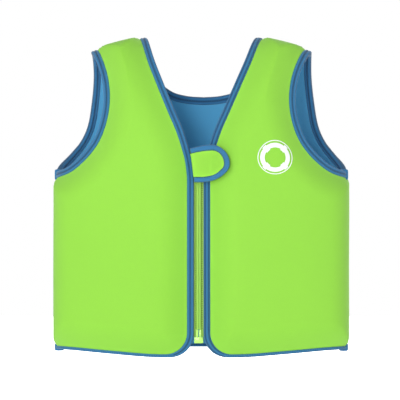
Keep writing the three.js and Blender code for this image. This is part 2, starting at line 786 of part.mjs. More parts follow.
function tabLayer(inset, low, high) {
  return reshaped(sheetBox(TAB_COLUMNS, TAB_ROWS), (x, y, z) => {
    const place = tabPlace(x + 0.5, 2 * y, inset);
    return onWall(place.x, place.y, tabUnderside(place) + (z > 0 ? high : low));
  });
}

const tabInset = TAB_BINDING_WIDTH + GAP;
addPiece('tab_backing', tabLayer(tabInset, 0, TAB_BACKING), BLUE);
addPiece('tab_shell', tabLayer(tabInset, TAB_BACKING + GAP, TAB_BACKING + GAP + SHELL), LIME);

// The tab's binding runs along the bottom edge, round the nose and back along the top edge.
function tabBinding() {
  const stations = [];
  for (let i = 0; i <= TAB_COLUMNS; i += 1) stations.push([i / TAB_COLUMNS, -1]);
  for (let i = 1; i < TAB_ROWS; i += 1) stations.push([1, -1 + (2 * i) / TAB_ROWS]);
  for (let i = TAB_COLUMNS; i >= 0; i -= 1) stations.push([i / TAB_COLUMNS, 1]);
  const low = -0.3;
  const high = TAB_BACKING + GAP + SHELL + 0.5;
  const shape = new THREE.Shape();
  const outline = [[0, low], [0.8, low], [1, low + 1.2], [1, high - 1.4], [0.7, high], [0, high]];
  shape.setFromPoints(outline.map(([x, y]) => new THREE.Vector2(x, y)));
  const steps = stations.length - 1;
  const bar = new THREE.ExtrudeGeometry(shape, { depth: steps, steps, bevelEnabled: false });
  return reshaped(bar, (along, lift, z) => {
    const [column, row] = stations[Math.round(z)];
    const place = tabPlace(column, row, TAB_BINDING_WIDTH * (1 - along));
    return onWall(place.x, place.y, tabUnderside(place) + lift);
  });
}

addPiece('tab_binding', tabBinding(), BLUE);

// ---------------------------------------------------------------- hook and loop patches

const PATCH_BOX = { girth0: BORDER_X + 5, girth1: BORDER_X + 15, height0: 193, height1: 210 };

function patch(liftLow, liftHigh) {
  const mix = THREE.MathUtils.lerp;
  return reshaped(sheetBox(3, 3), (x, y, z) => {
    const girth = mix(PATCH_BOX.girth0, PATCH_BOX.girth1, x + 0.5);
    const place = new THREE.Vector2(girth, mix(PATCH_BOX.height0, PATCH_BOX.height1, y + 0.5));
    return onWall(place.x, place.y, shellTop(place) + (z > 0 ? liftHigh : liftLow));
  });
}

addPiece('loop_patch', patch(GAP + 0.1, GAP + 0.1 + PATCH), GREY, 0.95);
addPiece('hook_patch', patch(2 * GAP + 0.1 + PATCH, 2 * GAP + 0.1 + 2 * PATCH), GREY, 0.95);

// ---------------------------------------------------------------- chest print

// A plain ring, like a life ring, printed on the wearer's left.
function chestPrint() {
  const middle = seenAt([PRINT_X, PRINT_Z]);
  const steps = 28;
  const shape = new THREE.Shape();
  const inner = PRINT_RADIUS - PRINT_BAND;
  const outline = [[inner, 0], [PRINT_RADIUS, 0], [PRINT_RADIUS, PRINT_THICK], [inner, PRINT_THICK]];
  shape.setFromPoints(outline.map(([x, y]) => new THREE.Vector2(x, y)));
  const bar = new THREE.ExtrudeGeometry(shape, { depth: steps, steps, bevelEnabled: false });
  return reshaped(bar, (radius, lift, z) => {
    const angle = (2 * Math.PI * z) / (steps + 0.06);
    const girth = middle.x + radius * Math.cos(angle);
    const height = middle.y + radius * Math.sin(angle);
    return onWall(girth, height, shellTop(new THREE.Vector2(girth, height)) + GAP + PRINT_CLEAR + lift);
  });
}

addPiece('chest_print', chestPrint(), WHITE, 0.6);

export default group;
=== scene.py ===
"""Looks of a child's foam swim vest with a front zip and a safety flap.

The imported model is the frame. Each fabric panel, binding, zip half and flap layer is remade here as
a fine surface on the same wall that the frame follows, and dressed with procedural materials.
Lengths are millimetres measured up from the hem until a piece is finished in metres.
"""

from __future__ import annotations

import logging
import math
from dataclasses import dataclass
from enum import Enum
from functools import cached_property
from typing import Callable, Iterable, Sequence

import bmesh
import bpy
import numpy as np
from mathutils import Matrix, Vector, kdtree, noise


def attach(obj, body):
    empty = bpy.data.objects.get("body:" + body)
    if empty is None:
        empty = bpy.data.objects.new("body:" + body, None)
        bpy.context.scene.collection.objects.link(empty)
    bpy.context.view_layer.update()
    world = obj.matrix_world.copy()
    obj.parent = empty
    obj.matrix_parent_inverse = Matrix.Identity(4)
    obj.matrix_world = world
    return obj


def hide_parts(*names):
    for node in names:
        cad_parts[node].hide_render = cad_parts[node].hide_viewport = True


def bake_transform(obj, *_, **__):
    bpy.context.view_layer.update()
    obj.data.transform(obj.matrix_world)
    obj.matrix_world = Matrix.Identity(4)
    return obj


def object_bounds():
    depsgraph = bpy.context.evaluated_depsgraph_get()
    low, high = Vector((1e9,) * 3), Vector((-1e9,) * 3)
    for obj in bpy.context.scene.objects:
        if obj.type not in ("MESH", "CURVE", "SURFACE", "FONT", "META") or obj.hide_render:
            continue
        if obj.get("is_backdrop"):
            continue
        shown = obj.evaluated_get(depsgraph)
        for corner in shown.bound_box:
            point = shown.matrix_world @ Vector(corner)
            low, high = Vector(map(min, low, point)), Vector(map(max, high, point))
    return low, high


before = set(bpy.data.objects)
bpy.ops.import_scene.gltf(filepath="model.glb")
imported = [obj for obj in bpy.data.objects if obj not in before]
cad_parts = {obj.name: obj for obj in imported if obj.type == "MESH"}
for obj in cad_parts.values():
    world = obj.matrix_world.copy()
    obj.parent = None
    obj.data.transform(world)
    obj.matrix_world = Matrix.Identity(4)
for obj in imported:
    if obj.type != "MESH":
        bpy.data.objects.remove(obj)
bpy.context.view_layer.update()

log = logging.getLogger("swim_vest")

SKIN_CROWN = 330.4
MM = 0.001


def unit(rows: np.ndarray) -> np.ndarray:
    """Rows made one long."""
    return rows / np.linalg.norm(rows, axis=-1, keepdims=True)


def running_length(points: np.ndarray) -> np.ndarray:
    """Length of a line up to each of its points."""
    steps = np.linalg.norm(np.diff(points, axis=0), axis=1)
    return np.concatenate([[0.0], np.cumsum(steps)])


def read(where: np.ndarray, at: np.ndarray, rows: np.ndarray) -> np.ndarray:
    """Rows read off between the places where they are known.

    Args:
        where: Where to read.
        at: Where each row is known, in rising order.
        rows: The known rows.

    Returns:
        One row for each place to read.
    """
    return np.stack([np.interp(where, at, column) for column in rows.T], axis=-1)


def squared(wave: np.ndarray, power: float) -> np.ndarray:
    """A sine or cosine drawn out towards a square wave by a power below one."""
    return np.sign(wave) * np.abs(wave) ** power


class Side(Enum):
    """A half of the vest, named by the wearer."""

    RIGHT = -1
    LEFT = 1

    @property
    def word(self) -> str:
        """The side as it stands in the names of the pieces."""
        return self.name.lower()

    @property
    def front_body(self) -> str:
        """The moving body of this front half."""
        return f"{self.word}_front"


class Facing(Enum):
    """Which way a panel looks; the value turns the sign of Y."""

    FRONT = 1
    BACK = -1


# ---------------------------------------------------------------- the wall as a surface


@dataclass(frozen=True)
class Wall:
    """The wearer's side of the vest as a surface of girth and height.

    Girth runs round the body from the front middle, height runs up the wall, which leans in above
    the arch start, and lift runs outwards from the wearer.
    """

    half_width: float = 148.0
    half_depth: float = 47.0
    crown_height: float = SKIN_CROWN
    arch_start: float = 220.0
    neck_end_x: float = 64.2
    arm_end_x: float = 108.5
    arm_end_drop: float = 11.5
    half_gap: float = 0.15

    @cached_property
    def section(self) -> tuple[np.ndarray, np.ndarray]:
        """Turns of the elliptical section and the length of its rim up to each."""
        turn = np.linspace(0.0, math.pi / 2, 2001)
        rim = np.stack([self.half_width * np.sin(turn), self.half_depth * np.cos(turn)], axis=1)
        return turn, running_length(rim)

    @cached_property
    def side_girth(self) -> float:
        """Girth of the side seam."""
        return float(self.section[1][-1])

    @cached_property
    def arch(self) -> tuple[np.ndarray, np.ndarray]:
        """Angles of the arch over the shoulder and its length up to each."""
        strap = (self.neck_end_x + self.arm_end_x) / 2
        depth = self.half_depth * math.sqrt(1 - (strap / self.half_width) ** 2)
        rise = float(self.crown(np.array(strap))) - self.arch_start
        angle = np.linspace(0.0, math.pi / 2, 1001)
        curve = np.stack([depth * np.cos(angle), rise * np.sin(angle)], axis=1)
        return angle, running_length(curve)

    @cached_property
    def shoulder(self) -> float:
        """Height of the shoulder seam along the wall."""
        return self.arch_start + float(self.arch[1][-1])

    def crown(self, x: np.ndarray) -> np.ndarray:
        """Height of the shoulder ridge at an x."""
        fall = self.arm_end_drop / (self.arm_end_x**2 - self.neck_end_x**2)
        return self.crown_height - fall * (np.asarray(x) ** 2 - self.neck_end_x**2)

    def skin(self, girth: np.ndarray, height: np.ndarray) -> np.ndarray:
        """Points on the wearer's side.

        Args:
            girth: Girths in mm.
            height: Heights in mm.

        Returns:
            Points in mm, one row each.
        """
        turn, length = self.section
        at = np.interp(np.minimum(np.abs(girth), self.side_girth), length, turn)
        x = np.sign(girth) * self.half_width * np.sin(at)
        y = self.half_depth * np.cos(at)
        angle = np.interp(height - self.arch_start, self.arch[1], self.arch[0])
        rise = self.arch_start + (self.crown(x) - self.arch_start) * np.sin(angle)
        z = np.where(height <= self.arch_start, height, rise)
        return np.stack([x, -self.half_gap - y * np.cos(angle), z], axis=-1)

    def outward(self, girth: np.ndarray, height: np.ndarray) -> np.ndarray:
        """Unit vectors away from the wearer at the given places."""
        step = 0.6
        right = np.minimum(girth + step, self.side_girth)
        left = np.maximum(girth - step, -self.side_girth)
        top = np.minimum(height + step, self.shoulder)
        around = self.skin(right, height) - self.skin(left, height)
        up = self.skin(girth, top) - self.skin(girth, height - step)
        return unit(np.cross(around, up))

    def on(self, girth: np.ndarray, height: np.ndarray, lift: np.ndarray | float) -> np.ndarray:
        """Points at a lift over the wearer's side, in mm."""
        girth, height = np.asarray(girth, float), np.asarray(height, float)
        lift = np.broadcast_to(np.asarray(lift, float), girth.shape)
        return self.skin(girth, height) + self.outward(girth, height) * lift[..., None]

    def girth_at(self, x: float) -> float:
        """Girth where the wall is this far from the middle."""
        turn, length = self.section
        return float(np.interp(math.asin(x / self.half_width), turn, length))

    def seen_at(self, x: float, z: float) -> tuple[float, float]:
        """The girth and height of a place that looks x from the middle and z over the hem."""
        if z <= self.arch_start:
            return self.girth_at(x), z
        sine = (z - self.arch_start) / (float(self.crown(np.array(x))) - self.arch_start)
        angle = math.asin(min(sine, 1.0))
        return self.girth_at(x), self.arch_start + float(np.interp(angle, *self.arch))


WALL = Wall()


@dataclass(frozen=True)
class Layers:
    """Thicknesses of the wall, outwards from the wearer."""

    lining: float = 1.5
    foam: float = 14.0
    shell: float = 2.5
    gap: float = 0.5
    puff_reach: float = 30.0

    @property
    def pinched(self) -> float:
        """The wall at an edge, where its layers meet."""
        return self.lining + self.gap + self.shell

    def rise(self, distance: np.ndarray) -> np.ndarray:
        """Share of the full puff at a distance from the border."""
        return np.sin(math.pi / 2 * np.minimum(distance / self.puff_reach, 1.0))

    def under_shell(self, rise: np.ndarray) -> np.ndarray:
        """Lift of the outer fabric's underside."""
        return self.lining + self.gap + (self.foam + self.gap) * rise


LAYERS = Layers()


# ---------------------------------------------------------------- lines on the wall


class Line:
    """A line through places of the wall, read by its share of length."""

    def __init__(self, places: Sequence[Sequence[float]] | np.ndarray) -> None:
        """Keeps the places and the length up to each.

        Args:
            places: Girth and height of each place in order.
        """
        self.places = np.asarray(places, float)
        self.length = running_length(self.places)

    def at(self, share: np.ndarray | float) -> np.ndarray:
        """Places at the given shares of the length."""
        where = np.clip(np.asarray(share, float), 0.0, 1.0) * self.length[-1]
        return read(where, self.length, self.places)

    def joined(self, other: Line) -> Line:
        """This line followed by another that starts where it ends."""
        return Line(np.vstack([self.places, other.places[1:]]))


def smooth_line(places: Sequence[Sequence[float]], per_span: int = 24) -> Line:
    """A smooth line through places, with even weight on each span.

    Args:
        places: Girth and height of each place.
        per_span: Steps between two places.

    Returns:
        The line.
    """
    points = np.asarray(places, float)
    last = len(points) - 1
    made = [points[0]]
    for i in range(last):
        before, start = points[max(i - 1, 0)], points[i]
        end, after = points[i + 1], points[min(i + 2, last)]
        leave, arrive = (end - before) / 2, (after - start) / 2
        for step in range(1, per_span + 1):
            t = step / per_span
            made.append(
                (2 * start - 2 * end + leave + arrive) * t**3
                + (-3 * start + 3 * end - 2 * leave - arrive) * t**2
                + leave * t
                + start
            )
    return Line(made)


@dataclass(frozen=True)
class Cut:
    """Where the panels end, in mm from the middle and from the hem."""

    hem_side: float = 12.0
    hem_front: float = 3.6
    hem_back: float = 13.4
    armpit: float = 188.0
    border_x: float = 12.1
    neck_start: float = 190.0
    row_split: float = 118.0
    corner_radius: float = 23.0
    armpit_share: float = 0.42
    strap_share: float = 0.14

    def seen(self, places: Iterable[tuple[float, float]]) -> list[tuple[float, float]]:
        """Places of the wall from how they look from the front."""
        return [WALL.seen_at(x, z) for x, z in places]

    @cached_property
    def armpit_place(self) -> tuple[float, float]:
        """Top of the side seam."""
        return WALL.side_girth, self.armpit

    @cached_property
    def neck_end(self) -> tuple[float, float]:
        """Neck end of the shoulder seam."""
        return WALL.girth_at(WALL.neck_end_x), WALL.shoulder

    @cached_property
    def arm_end(self) -> tuple[float, float]:
        """Arm end of the shoulder seam."""
        return WALL.girth_at(WALL.arm_end_x), WALL.shoulder

    @cached_property
    def front_armhole(self) -> Line:
        """Edge of the front from the armpit to the shoulder."""
        seen = [(136, 193.5), (120, 206), (105.5, 224), (96.5, 246), (93, 271), (96.5, 297)]
        return smooth_line([self.armpit_place, *self.seen(seen), self.arm_end])

    @cached_property
    def back_armhole(self) -> Line:
        """Edge of the back from the armpit to the shoulder."""
        seen = [(145, 196), (134, 208.5), (123, 223), (114.5, 242), (110, 268), (107.5, 297)]
        return smooth_line([self.armpit_place, *self.seen(seen), self.arm_end])

    @cached_property
    def front_neck(self) -> Line:
        """Edge of the front beside the zip and up the neckline."""
        seen = [(15, 210), (22.3, 234), (33.4, 260), (44.5, 286), (55, 311)]
        upright = Line([(self.border_x, self.row_split), (self.border_x, self.neck_start)])
        neckline = smooth_line([(self.border_x, self.neck_start), *self.seen(seen), self.neck_end])
        return upright.joined(neckline)

    @cached_property
    def back_neck(self) -> Line:
        """Half of the back's neckline, from the shoulder to the middle."""
        seen = [(60, 305), (52, 286), (37, 273), (19, 267.5), (0, 266)]
        return smooth_line([self.neck_end, *self.seen(seen)])

    @cached_property
    def front_hem(self) -> Line:
        """Lower edge of a front, from the side seam to the zip."""
        seen = [(130, 10.7), (90, 7.2), (50, self.hem_front + 0.5)]
        places = [(WALL.girth_at(x), z) for x, z in seen]
        start, end = (WALL.side_girth, self.hem_side), (self.border_x, self.hem_front)
        return smooth_line([start, *places, end])


CUT = Cut()


@dataclass(frozen=True)
class Panel:
    """A cut panel: four edges and the patch of wall between them."""

    facing: Facing
    columns: int
    rows: int

    def two_part(self, lower: Line, upper: Line, v: np.ndarray) -> np.ndarray:
        """Places on an edge made of two lines that meet on the armpit's row."""
        split = CUT.armpit_share
        low = lower.at(v / split)
        high = upper.at((v - split) / (1 - split))
        return np.where((v <= split)[..., None], low, high)

    def edges(self, u: np.ndarray, v: np.ndarray) -> tuple[np.ndarray, ...]:
        """Finds the four edges of the panel.

        Args:
            u: Shares across the panel, from the side seam.
            v: Shares up the panel, from the hem.

        Returns:
            The left, right, lower and upper edge at those shares.
        """
        seam = Line([(WALL.side_girth, CUT.hem_side), CUT.armpit_place])
        top = Line([CUT.arm_end, CUT.neck_end])
        if self.facing is Facing.FRONT:
            zip_edge = Line([(CUT.border_x, CUT.hem_front), (CUT.border_x, CUT.row_split)])
            left = self.two_part(seam, CUT.front_armhole, v)
            right = self.two_part(zip_edge, CUT.front_neck, v)
            return left, right, CUT.front_hem.at(u), top.at(u)
        left = self.two_part(seam, CUT.back_armhole, v)
        right = left * [-1, 1]
        share = 2 * np.abs(u - 0.5)
        hem = CUT.hem_back + (CUT.hem_side - CUT.hem_back) * share**2
        low = np.stack([np.sign(0.5 - u) * share * WALL.side_girth, hem], axis=-1)
        half = np.minimum(u, 1 - u)
        strap = top.at(half / CUT.strap_share)
        neck = CUT.back_neck.at((half - CUT.strap_share) / (0.5 - CUT.strap_share))
        high = np.where((half <= CUT.strap_share)[..., None], strap, neck)
        high[..., 0] *= np.where(u > 0.5, -1.0, 1.0)
        return left, right, low, high

    def rounded(self, places: np.ndarray) -> np.ndarray:
        """The places with the lower front corner rounded."""
        if self.facing is Facing.BACK:
            return places
        r = CUT.corner_radius
        across = CUT.border_x + r - places[..., 0]
        down = CUT.hem_front + r - places[..., 1]
        inside = (across > 0) & (down > 0)
        a, d = np.clip(across, 0, r), np.clip(down, 0, r)
        girth = CUT.border_x + r - a * np.sqrt(1 - d**2 / (2 * r**2))
        height = CUT.hem_front + r - d * np.sqrt(1 - a**2 / (2 * r**2))
        return np.where(inside[..., None], np.stack([girth, height], axis=-1), places)

    def place(self, u: np.ndarray, v: np.ndarray) -> np.ndarray:
        """Girths and heights of the patch.

        Args:
            u: Shares across, from the side seam.
            v: Shares up, from the hem.

        Returns:
            Places of the wall, one row each.
        """
        left, right, low, high = self.edges(u, v)
        zero, one = np.zeros(1), np.ones(1)
        corners = [self.edges(zero, k)[side][0] for k in (zero, one) for side in (0, 1)]
        u, v = u[..., None], v[..., None]
        across = (1 - u) * left + u * right
        up = (1 - v) * low + v * high
        base = (1 - v) * ((1 - u) * corners[0] + u * corners[1])
        base = base + v * ((1 - u) * corners[2] + u * corners[3])
        return self.rounded(across + up - base)

    @cached_property
    def border(self) -> np.ndarray:
        """Places right round the panel, closely spaced."""
        share = np.linspace(0, 1, 301)
        flat, full = np.zeros_like(share), np.ones_like(share)
        low, high = self.place(share, flat), self.place(share, full)
        start, end = self.place(flat, share), self.place(full, share)
        return np.vstack([low, end[1:], high[::-1][1:], start[::-1][1:]])

    @cached_property
    def border_tree(self) -> kdtree.KDTree:
        """The border's places, ready to be searched."""
        tree = kdtree.KDTree(len(self.border))
        for number, (girth, height) in enumerate(self.border):
            tree.insert((girth, height, 0.0), number)
        tree.balance()
        return tree

    def edge_distance(self, places: np.ndarray) -> tuple[np.ndarray, np.ndarray]:
        """How far places are from the border.

        Args:
            places: Girths and heights, one row each.

        Returns:
            The distances, and how far along the border the nearest point of it is.
        """
        length = running_length(self.border)
        nearest = np.array([self.border_tree.find((g, h, 0.0))[1] for g, h in places])
        near = np.full(len(places), np.inf)
        along = np.zeros(len(places))
        for shift in (-1, 0):
            first = np.clip(nearest + shift, 0, len(self.border) - 2)
            start, step = self.border[first], self.border[first + 1] - self.border[first]
            square = np.maximum((step**2).sum(axis=1), 1e-12)
            share = np.clip(((places - start) * step).sum(axis=1) / square, 0, 1)
            gap = np.linalg.norm(places - start - share[:, None] * step, axis=1)
            along = np.where(gap < near, length[first] + share * np.sqrt(square), along)
            near = np.minimum(gap, near)
        return near, along


FRONT = Panel(Facing.FRONT, columns=60, rows=132)
BACK = Panel(Facing.BACK, columns=100, rows=120)


def crowded(share: np.ndarray, amount: float = 0.5) -> np.ndarray:
    """Shares moved towards both ends, so that grid lines stand closer there."""
    return (1 - amount) * share + amount * (0.5 - 0.5 * np.cos(math.pi * share))


# ---------------------------------------------------------------- material groups and finishes


class Tree:
    """Adds nodes to a node tree and joins them."""

    def __init__(self, tree: bpy.types.NodeTree) -> None:
        """Keeps the tree."""
        self.tree = tree

    def add(self, kind: str, **values: object) -> bpy.types.Node:
        """Adds a node.

        Args:
            kind: Node type.
            values: Properties of the node, or values of its input sockets by name or index.

        Returns:
            The node.
        """
        node = self.tree.nodes.new(kind)
        for name, value in values.items():
            if hasattr(node, name):
                setattr(node, name, value)
            else:
                key = int(name[1:]) if name[1:].isdigit() else name.replace("_", " ")
                node.inputs[key].default_value = value
        return node

    def join(self, source: bpy.types.NodeSocket, target: bpy.types.NodeSocket) -> None:
        """Links two sockets."""
        self.tree.links.new(source, target)

    def math(self, operation: str, *inputs: bpy.types.NodeSocket | float) -> bpy.types.NodeSocket:
        """Adds a Math node fed by sockets or numbers and returns its output."""
        node = self.add("ShaderNodeMath", operation=operation)
        for socket, value in zip(node.inputs, inputs):
            if isinstance(value, (int, float)):
                socket.default_value = value
            else:
                self.join(value, socket)
        return node.outputs[0]

    def mix(self, share: bpy.types.NodeSocket, first: object, second: object) -> bpy.types.NodeSocket:
        """Mixes two colours by a share.

        Args:
            share: How much of the second colour.
            first: A colour or a socket.
            second: A colour.

        Returns:
            The mixed colour.
        """
        node = self.add("ShaderNodeMix", data_type="RGBA", _7=second)
        self.join(share, node.inputs[0])
        if isinstance(first, bpy.types.NodeSocket):
            self.join(first, node.inputs[6])
        else:
            node.inputs[6].default_value = first
        return node.outputs[2]

    def surface(
        self, base: bpy.types.NodeSocket, rough: bpy.types.NodeSocket,
        height: bpy.types.NodeSocket, strength: float, depth: float,
    ) -> None:
        """Joins a colour, a roughness and a relief to the shader.

        Args:
            base: The colour.
            rough: The roughness.
            height: The relief.
            strength: Strength of the bump.
            depth: Depth of the bump in metres.
        """
        shader = self.tree.nodes["Principled BSDF"]
        bump = self.add("ShaderNodeBump", Strength=strength, Distance=depth)
        self.join(height, bump.inputs["Height"])
        self.join(base, shader.inputs["Base Color"])
        self.join(rough, shader.inputs["Roughness"])
        self.join(bump.outputs[0], shader.inputs["Normal"])


def new_material(name: str, colour: Sequence[float]) -> tuple:
    """Starts a material.

    Args:
        name: Name of the material.
        colour: Its colour in the plain view.

    Returns:
        The material, its tree helper, its shader and its group of handling marks.
    """
    material = bpy.data.materials.new(name)
    material.use_nodes = True
    material.diffuse_color = colour
    tree = Tree(material.node_tree)
    marks = tree.add("ShaderNodeGroup", node_tree=bpy.data.node_groups["Dye and handling"])
    tree.join(tree.add("ShaderNodeTexCoord").outputs["Object"], marks.inputs["Vector"])
    return material, tree, material.node_tree.nodes["Principled BSDF"], marks


def new_group(name: str, inputs: dict[str, float | str], outputs: dict[str, str]) -> tuple:
    """Starts a shader node group.

    Args:
        name: Name of the group.
        inputs: Input names with a default number, or the kind of socket.
        outputs: Output names with the kind of socket.

    Returns:
        The group, its tree helper, and its input and output nodes.
    """
    group = bpy.data.node_groups.new(name, "ShaderNodeTree")
    for label, value in inputs.items():
        kind = value if isinstance(value, str) else "NodeSocketFloat"
        socket = group.interface.new_socket(name=label, in_out="INPUT", socket_type=kind)
        if not isinstance(value, str):
            socket.default_value = value
    for label, kind in outputs.items():
        group.interface.new_socket(name=label, in_out="OUTPUT", socket_type=kind)
    tree = Tree(group)
    return group, tree, tree.add("NodeGroupInput"), tree.add("NodeGroupOutput")


def knit_group() -> bpy.types.NodeTree:
    """Jersey knit: upright wales of V-shaped loops. Puts out a height and a mask of the gaps."""
    inputs = {"Vector": "NodeSocketVector", "Wales": 1600.0, "Courses": 1300.0}
    outputs = {"Height": "NodeSocketFloat", "Gaps": "NodeSocketFloat"}
    group, tree, given, put = new_group("Jersey knit", inputs, outputs)
    axes = tree.add("ShaderNodeSeparateXYZ")
    tree.join(given.outputs["Vector"], axes.inputs[0])
    across = tree.math("MULTIPLY", axes.outputs[0], given.outputs["Wales"])
    along = tree.math("MULTIPLY", axes.outputs[1], given.outputs["Courses"])
    wale = tree.math("PINGPONG", across, 0.5)
    rib = tree.math("SINE", tree.math("MULTIPLY", wale, math.pi))
    slope = tree.math("MULTIPLY_ADD", wale, 0.9, along)
    loop = tree.math("SINE", tree.math("MULTIPLY", slope, 2 * math.pi))
    loop = tree.math("MULTIPLY_ADD", loop, 0.5, 0.5)
    height = tree.math("MULTIPLY_ADD", loop, 0.45, tree.math("MULTIPLY", rib, 0.55))
    gaps = tree.math("SUBTRACT", 1.0, tree.math("SMOOTH_MIN", rib, loop, 0.3))
    tree.join(height, put.inputs["Height"])
    tree.join(gaps, put.inputs["Gaps"])
    return group


def twill_group() -> bpy.types.NodeTree:
    """Woven tape: slanted ribs crossed by picks. Puts out a height and a mask of the gaps."""
    inputs = {"Vector": "NodeSocketVector", "Ribs": 1100.0, "Slant": 0.6, "Picks": 1500.0}
    outputs = {"Height": "NodeSocketFloat", "Gaps": "NodeSocketFloat"}
    group, tree, given, put = new_group("Twill weave", inputs, outputs)
    axes = tree.add("ShaderNodeSeparateXYZ")
    tree.join(given.outputs["Vector"], axes.inputs[0])
    slanted = tree.math("MULTIPLY_ADD", axes.outputs[1], given.outputs["Slant"], axes.outputs[0])
    ribs = tree.math("MULTIPLY", slanted, given.outputs["Ribs"])
    picks = tree.math("MULTIPLY", axes.outputs[1], given.outputs["Picks"])
    rib = tree.math("SINE", tree.math("MULTIPLY", tree.math("PINGPONG", ribs, 0.5), math.pi))
    pick = tree.math("SINE", tree.math("MULTIPLY", tree.math("PINGPONG", picks, 0.5), math.pi))
    height = tree.math("MULTIPLY_ADD", pick, 0.35, tree.math("MULTIPLY", rib, 0.65))
    tree.join(height, put.inputs["Height"])
    tree.join(tree.math("SUBTRACT", 1.0, height), put.inputs["Gaps"])
    return group


def handling_group() -> bpy.types.NodeTree:
    """Uneven dye and handling marks: a broad mask, a fine mask and their mean."""
    inputs = {"Vector": "NodeSocketVector", "Broad": 9.0, "Fine": 160.0}
    outputs = {"Cloud": "NodeSocketFloat", "Fleck": "NodeSocketFloat", "Both": "NodeSocketFloat"}
    group, tree, given, put = new_group("Dye and handling", inputs, outputs)
    clouds = []
    for label, detail in (("Broad", 3.0), ("Fine", 2.0)):
        cloud = tree.add("ShaderNodeTexNoise", noise_dimensions="3D", Detail=detail, Roughness=0.55)
        tree.join(given.outputs["Vector"], cloud.inputs["Vector"])
        tree.join(given.outputs[label], cloud.inputs["Scale"])
        clouds.append(cloud.outputs["Fac"])
    tree.join(clouds[0], put.inputs["Cloud"])
    tree.join(clouds[1], put.inputs["Fleck"])
    both = tree.math("MULTIPLY", tree.math("ADD", clouds[0], clouds[1]), 0.5)
    tree.join(both, put.inputs["Both"])
    return group


class Weave(Enum):
    """How a fabric's surface is made."""

    KNIT = "Jersey knit"
    TWILL = "Twill weave"


def linear(red: int, green: int, blue: int) -> tuple[float, float, float, float]:
    """A linear colour from display values of 0 to 255."""
    parts = [c / 255 for c in (red, green, blue)]
    flat = [c / 12.92 if c <= 0.04045 else ((c + 0.055) / 1.055) ** 2.4 for c in parts]
    return flat[0], flat[1], flat[2], 1.0


def scaled(colour: Sequence[float], by: float) -> tuple[float, float, float, float]:
    """A colour made darker or lighter."""
    return colour[0] * by, colour[1] * by, colour[2] * by, 1.0


@dataclass(frozen=True)
class Fabric:
    """A knitted or woven fabric, in a colour that varies with the dye and the yarn, with a painted
    highlight near its edges and painted shade on a tape where asked for.
    """

    name: str
    colour: tuple[float, float, float, float]
    weave: Weave = Weave.KNIT
    across: float = 1500.0
    along: float = 1250.0
    bump: float = 0.00012
    roughness: float = 0.82
    sheen: float = 0.25
    gap_dark: float = 0.72
    dye: float = 0.05
    # Strength of a painted highlight near the edges, and of painted shade on a tape.
    painted_edge_highlight: float = 0.0
    painted_tape_shade: float = 0.0
    sheen_rough: float = 0.55
    shine: float = 0.28

    def make(self) -> bpy.types.Material:
        """Builds the material.

        Returns:
            A material whose weave lies on the piece's own map.
        """
        material, tree, shader, marks = new_material(self.name, self.colour)
        own = tree.add("ShaderNodeUVMap", uv_map="Pattern")
        weave = tree.add("ShaderNodeGroup", node_tree=bpy.data.node_groups[self.weave.value])
        first, second = ("Wales", "Courses") if self.weave is Weave.KNIT else ("Ribs", "Picks")
        weave.inputs[first].default_value = self.across
        weave.inputs[second].default_value = self.along
        tree.join(own.outputs[0], weave.inputs["Vector"])
        dark, light = scaled(self.colour, 1 - self.dye), scaled(self.colour, 1 + self.dye)
        base = tree.mix(marks.outputs["Both"], dark, light)
        gaps = tree.math("MULTIPLY", weave.outputs["Gaps"], 0.5)
        base = tree.mix(gaps, base, scaled(self.colour, self.gap_dark))
        # Painted highlight near the edges, and painted shade in a tape's sewn grooves and along its
        # edges.
        for mark, amount, tone in (("near_edge", self.painted_edge_highlight, 1.25), ("sewn", self.painted_tape_shade, 0.3)):
            if amount:
                near = tree.add("ShaderNodeAttribute", attribute_name=mark)
                share = tree.math("MULTIPLY", near.outputs["Fac"], amount)
                base = tree.mix(share, base, scaled(self.colour, tone))
        rough = tree.math("MULTIPLY_ADD", marks.outputs["Fleck"], 0.16, self.roughness - 0.08)
        height = tree.math("MULTIPLY_ADD", marks.outputs["Fleck"], 0.35, weave.outputs["Height"])
        tree.surface(base, rough, height, 0.8, self.bump)
        shader.inputs["Sheen Weight"].default_value = self.sheen
        shader.inputs["Sheen Roughness"].default_value = self.sheen_rough
        shader.inputs["Specular IOR Level"].default_value = self.shine
        return material


@dataclass(frozen=True)
class Moulded:
    """Plastic or painted metal with a fine grain, handling marks and worn high spots."""

    name: str
    colour: tuple[float, float, float, float]
    roughness: float = 0.4
    metallic: float = 0.0
    coat: float = 0.0
    grain: float = 900.0
    bump: float = 0.00004
    worn: tuple[float, float, float, float] | None = None

    def make(self) -> bpy.types.Material:
        """Builds the material.

        Returns:
            A material on object coordinates, which needs no map.
        """
        material, tree, shader, marks = new_material(self.name, self.colour)
        marks.inputs["Fine"].default_value = self.grain
        marks.inputs["Broad"].default_value = 60.0
        base = tree.mix(marks.outputs["Cloud"], scaled(self.colour, 0.9), scaled(self.colour, 1.08))
        if self.worn is not None:
            spots = tree.math("GREATER_THAN", marks.outputs["Both"], 0.6)
            base = tree.mix(tree.math("MULTIPLY", spots, 0.5), base, self.worn)
        rough = tree.math("MULTIPLY_ADD", marks.outputs["Fleck"], 0.2, self.roughness - 0.1)
        tree.surface(base, rough, marks.outputs["Fleck"], 0.5, self.bump)
        shader.inputs["Metallic"].default_value = self.metallic
        shader.inputs["Coat Weight"].default_value = self.coat
        return material


LIME = linear(151, 221, 70)
BLUE = linear(89, 177, 224)
TAPE_BLUE = linear(50, 120, 170)
ZIP_LIME = linear(184, 240, 104)


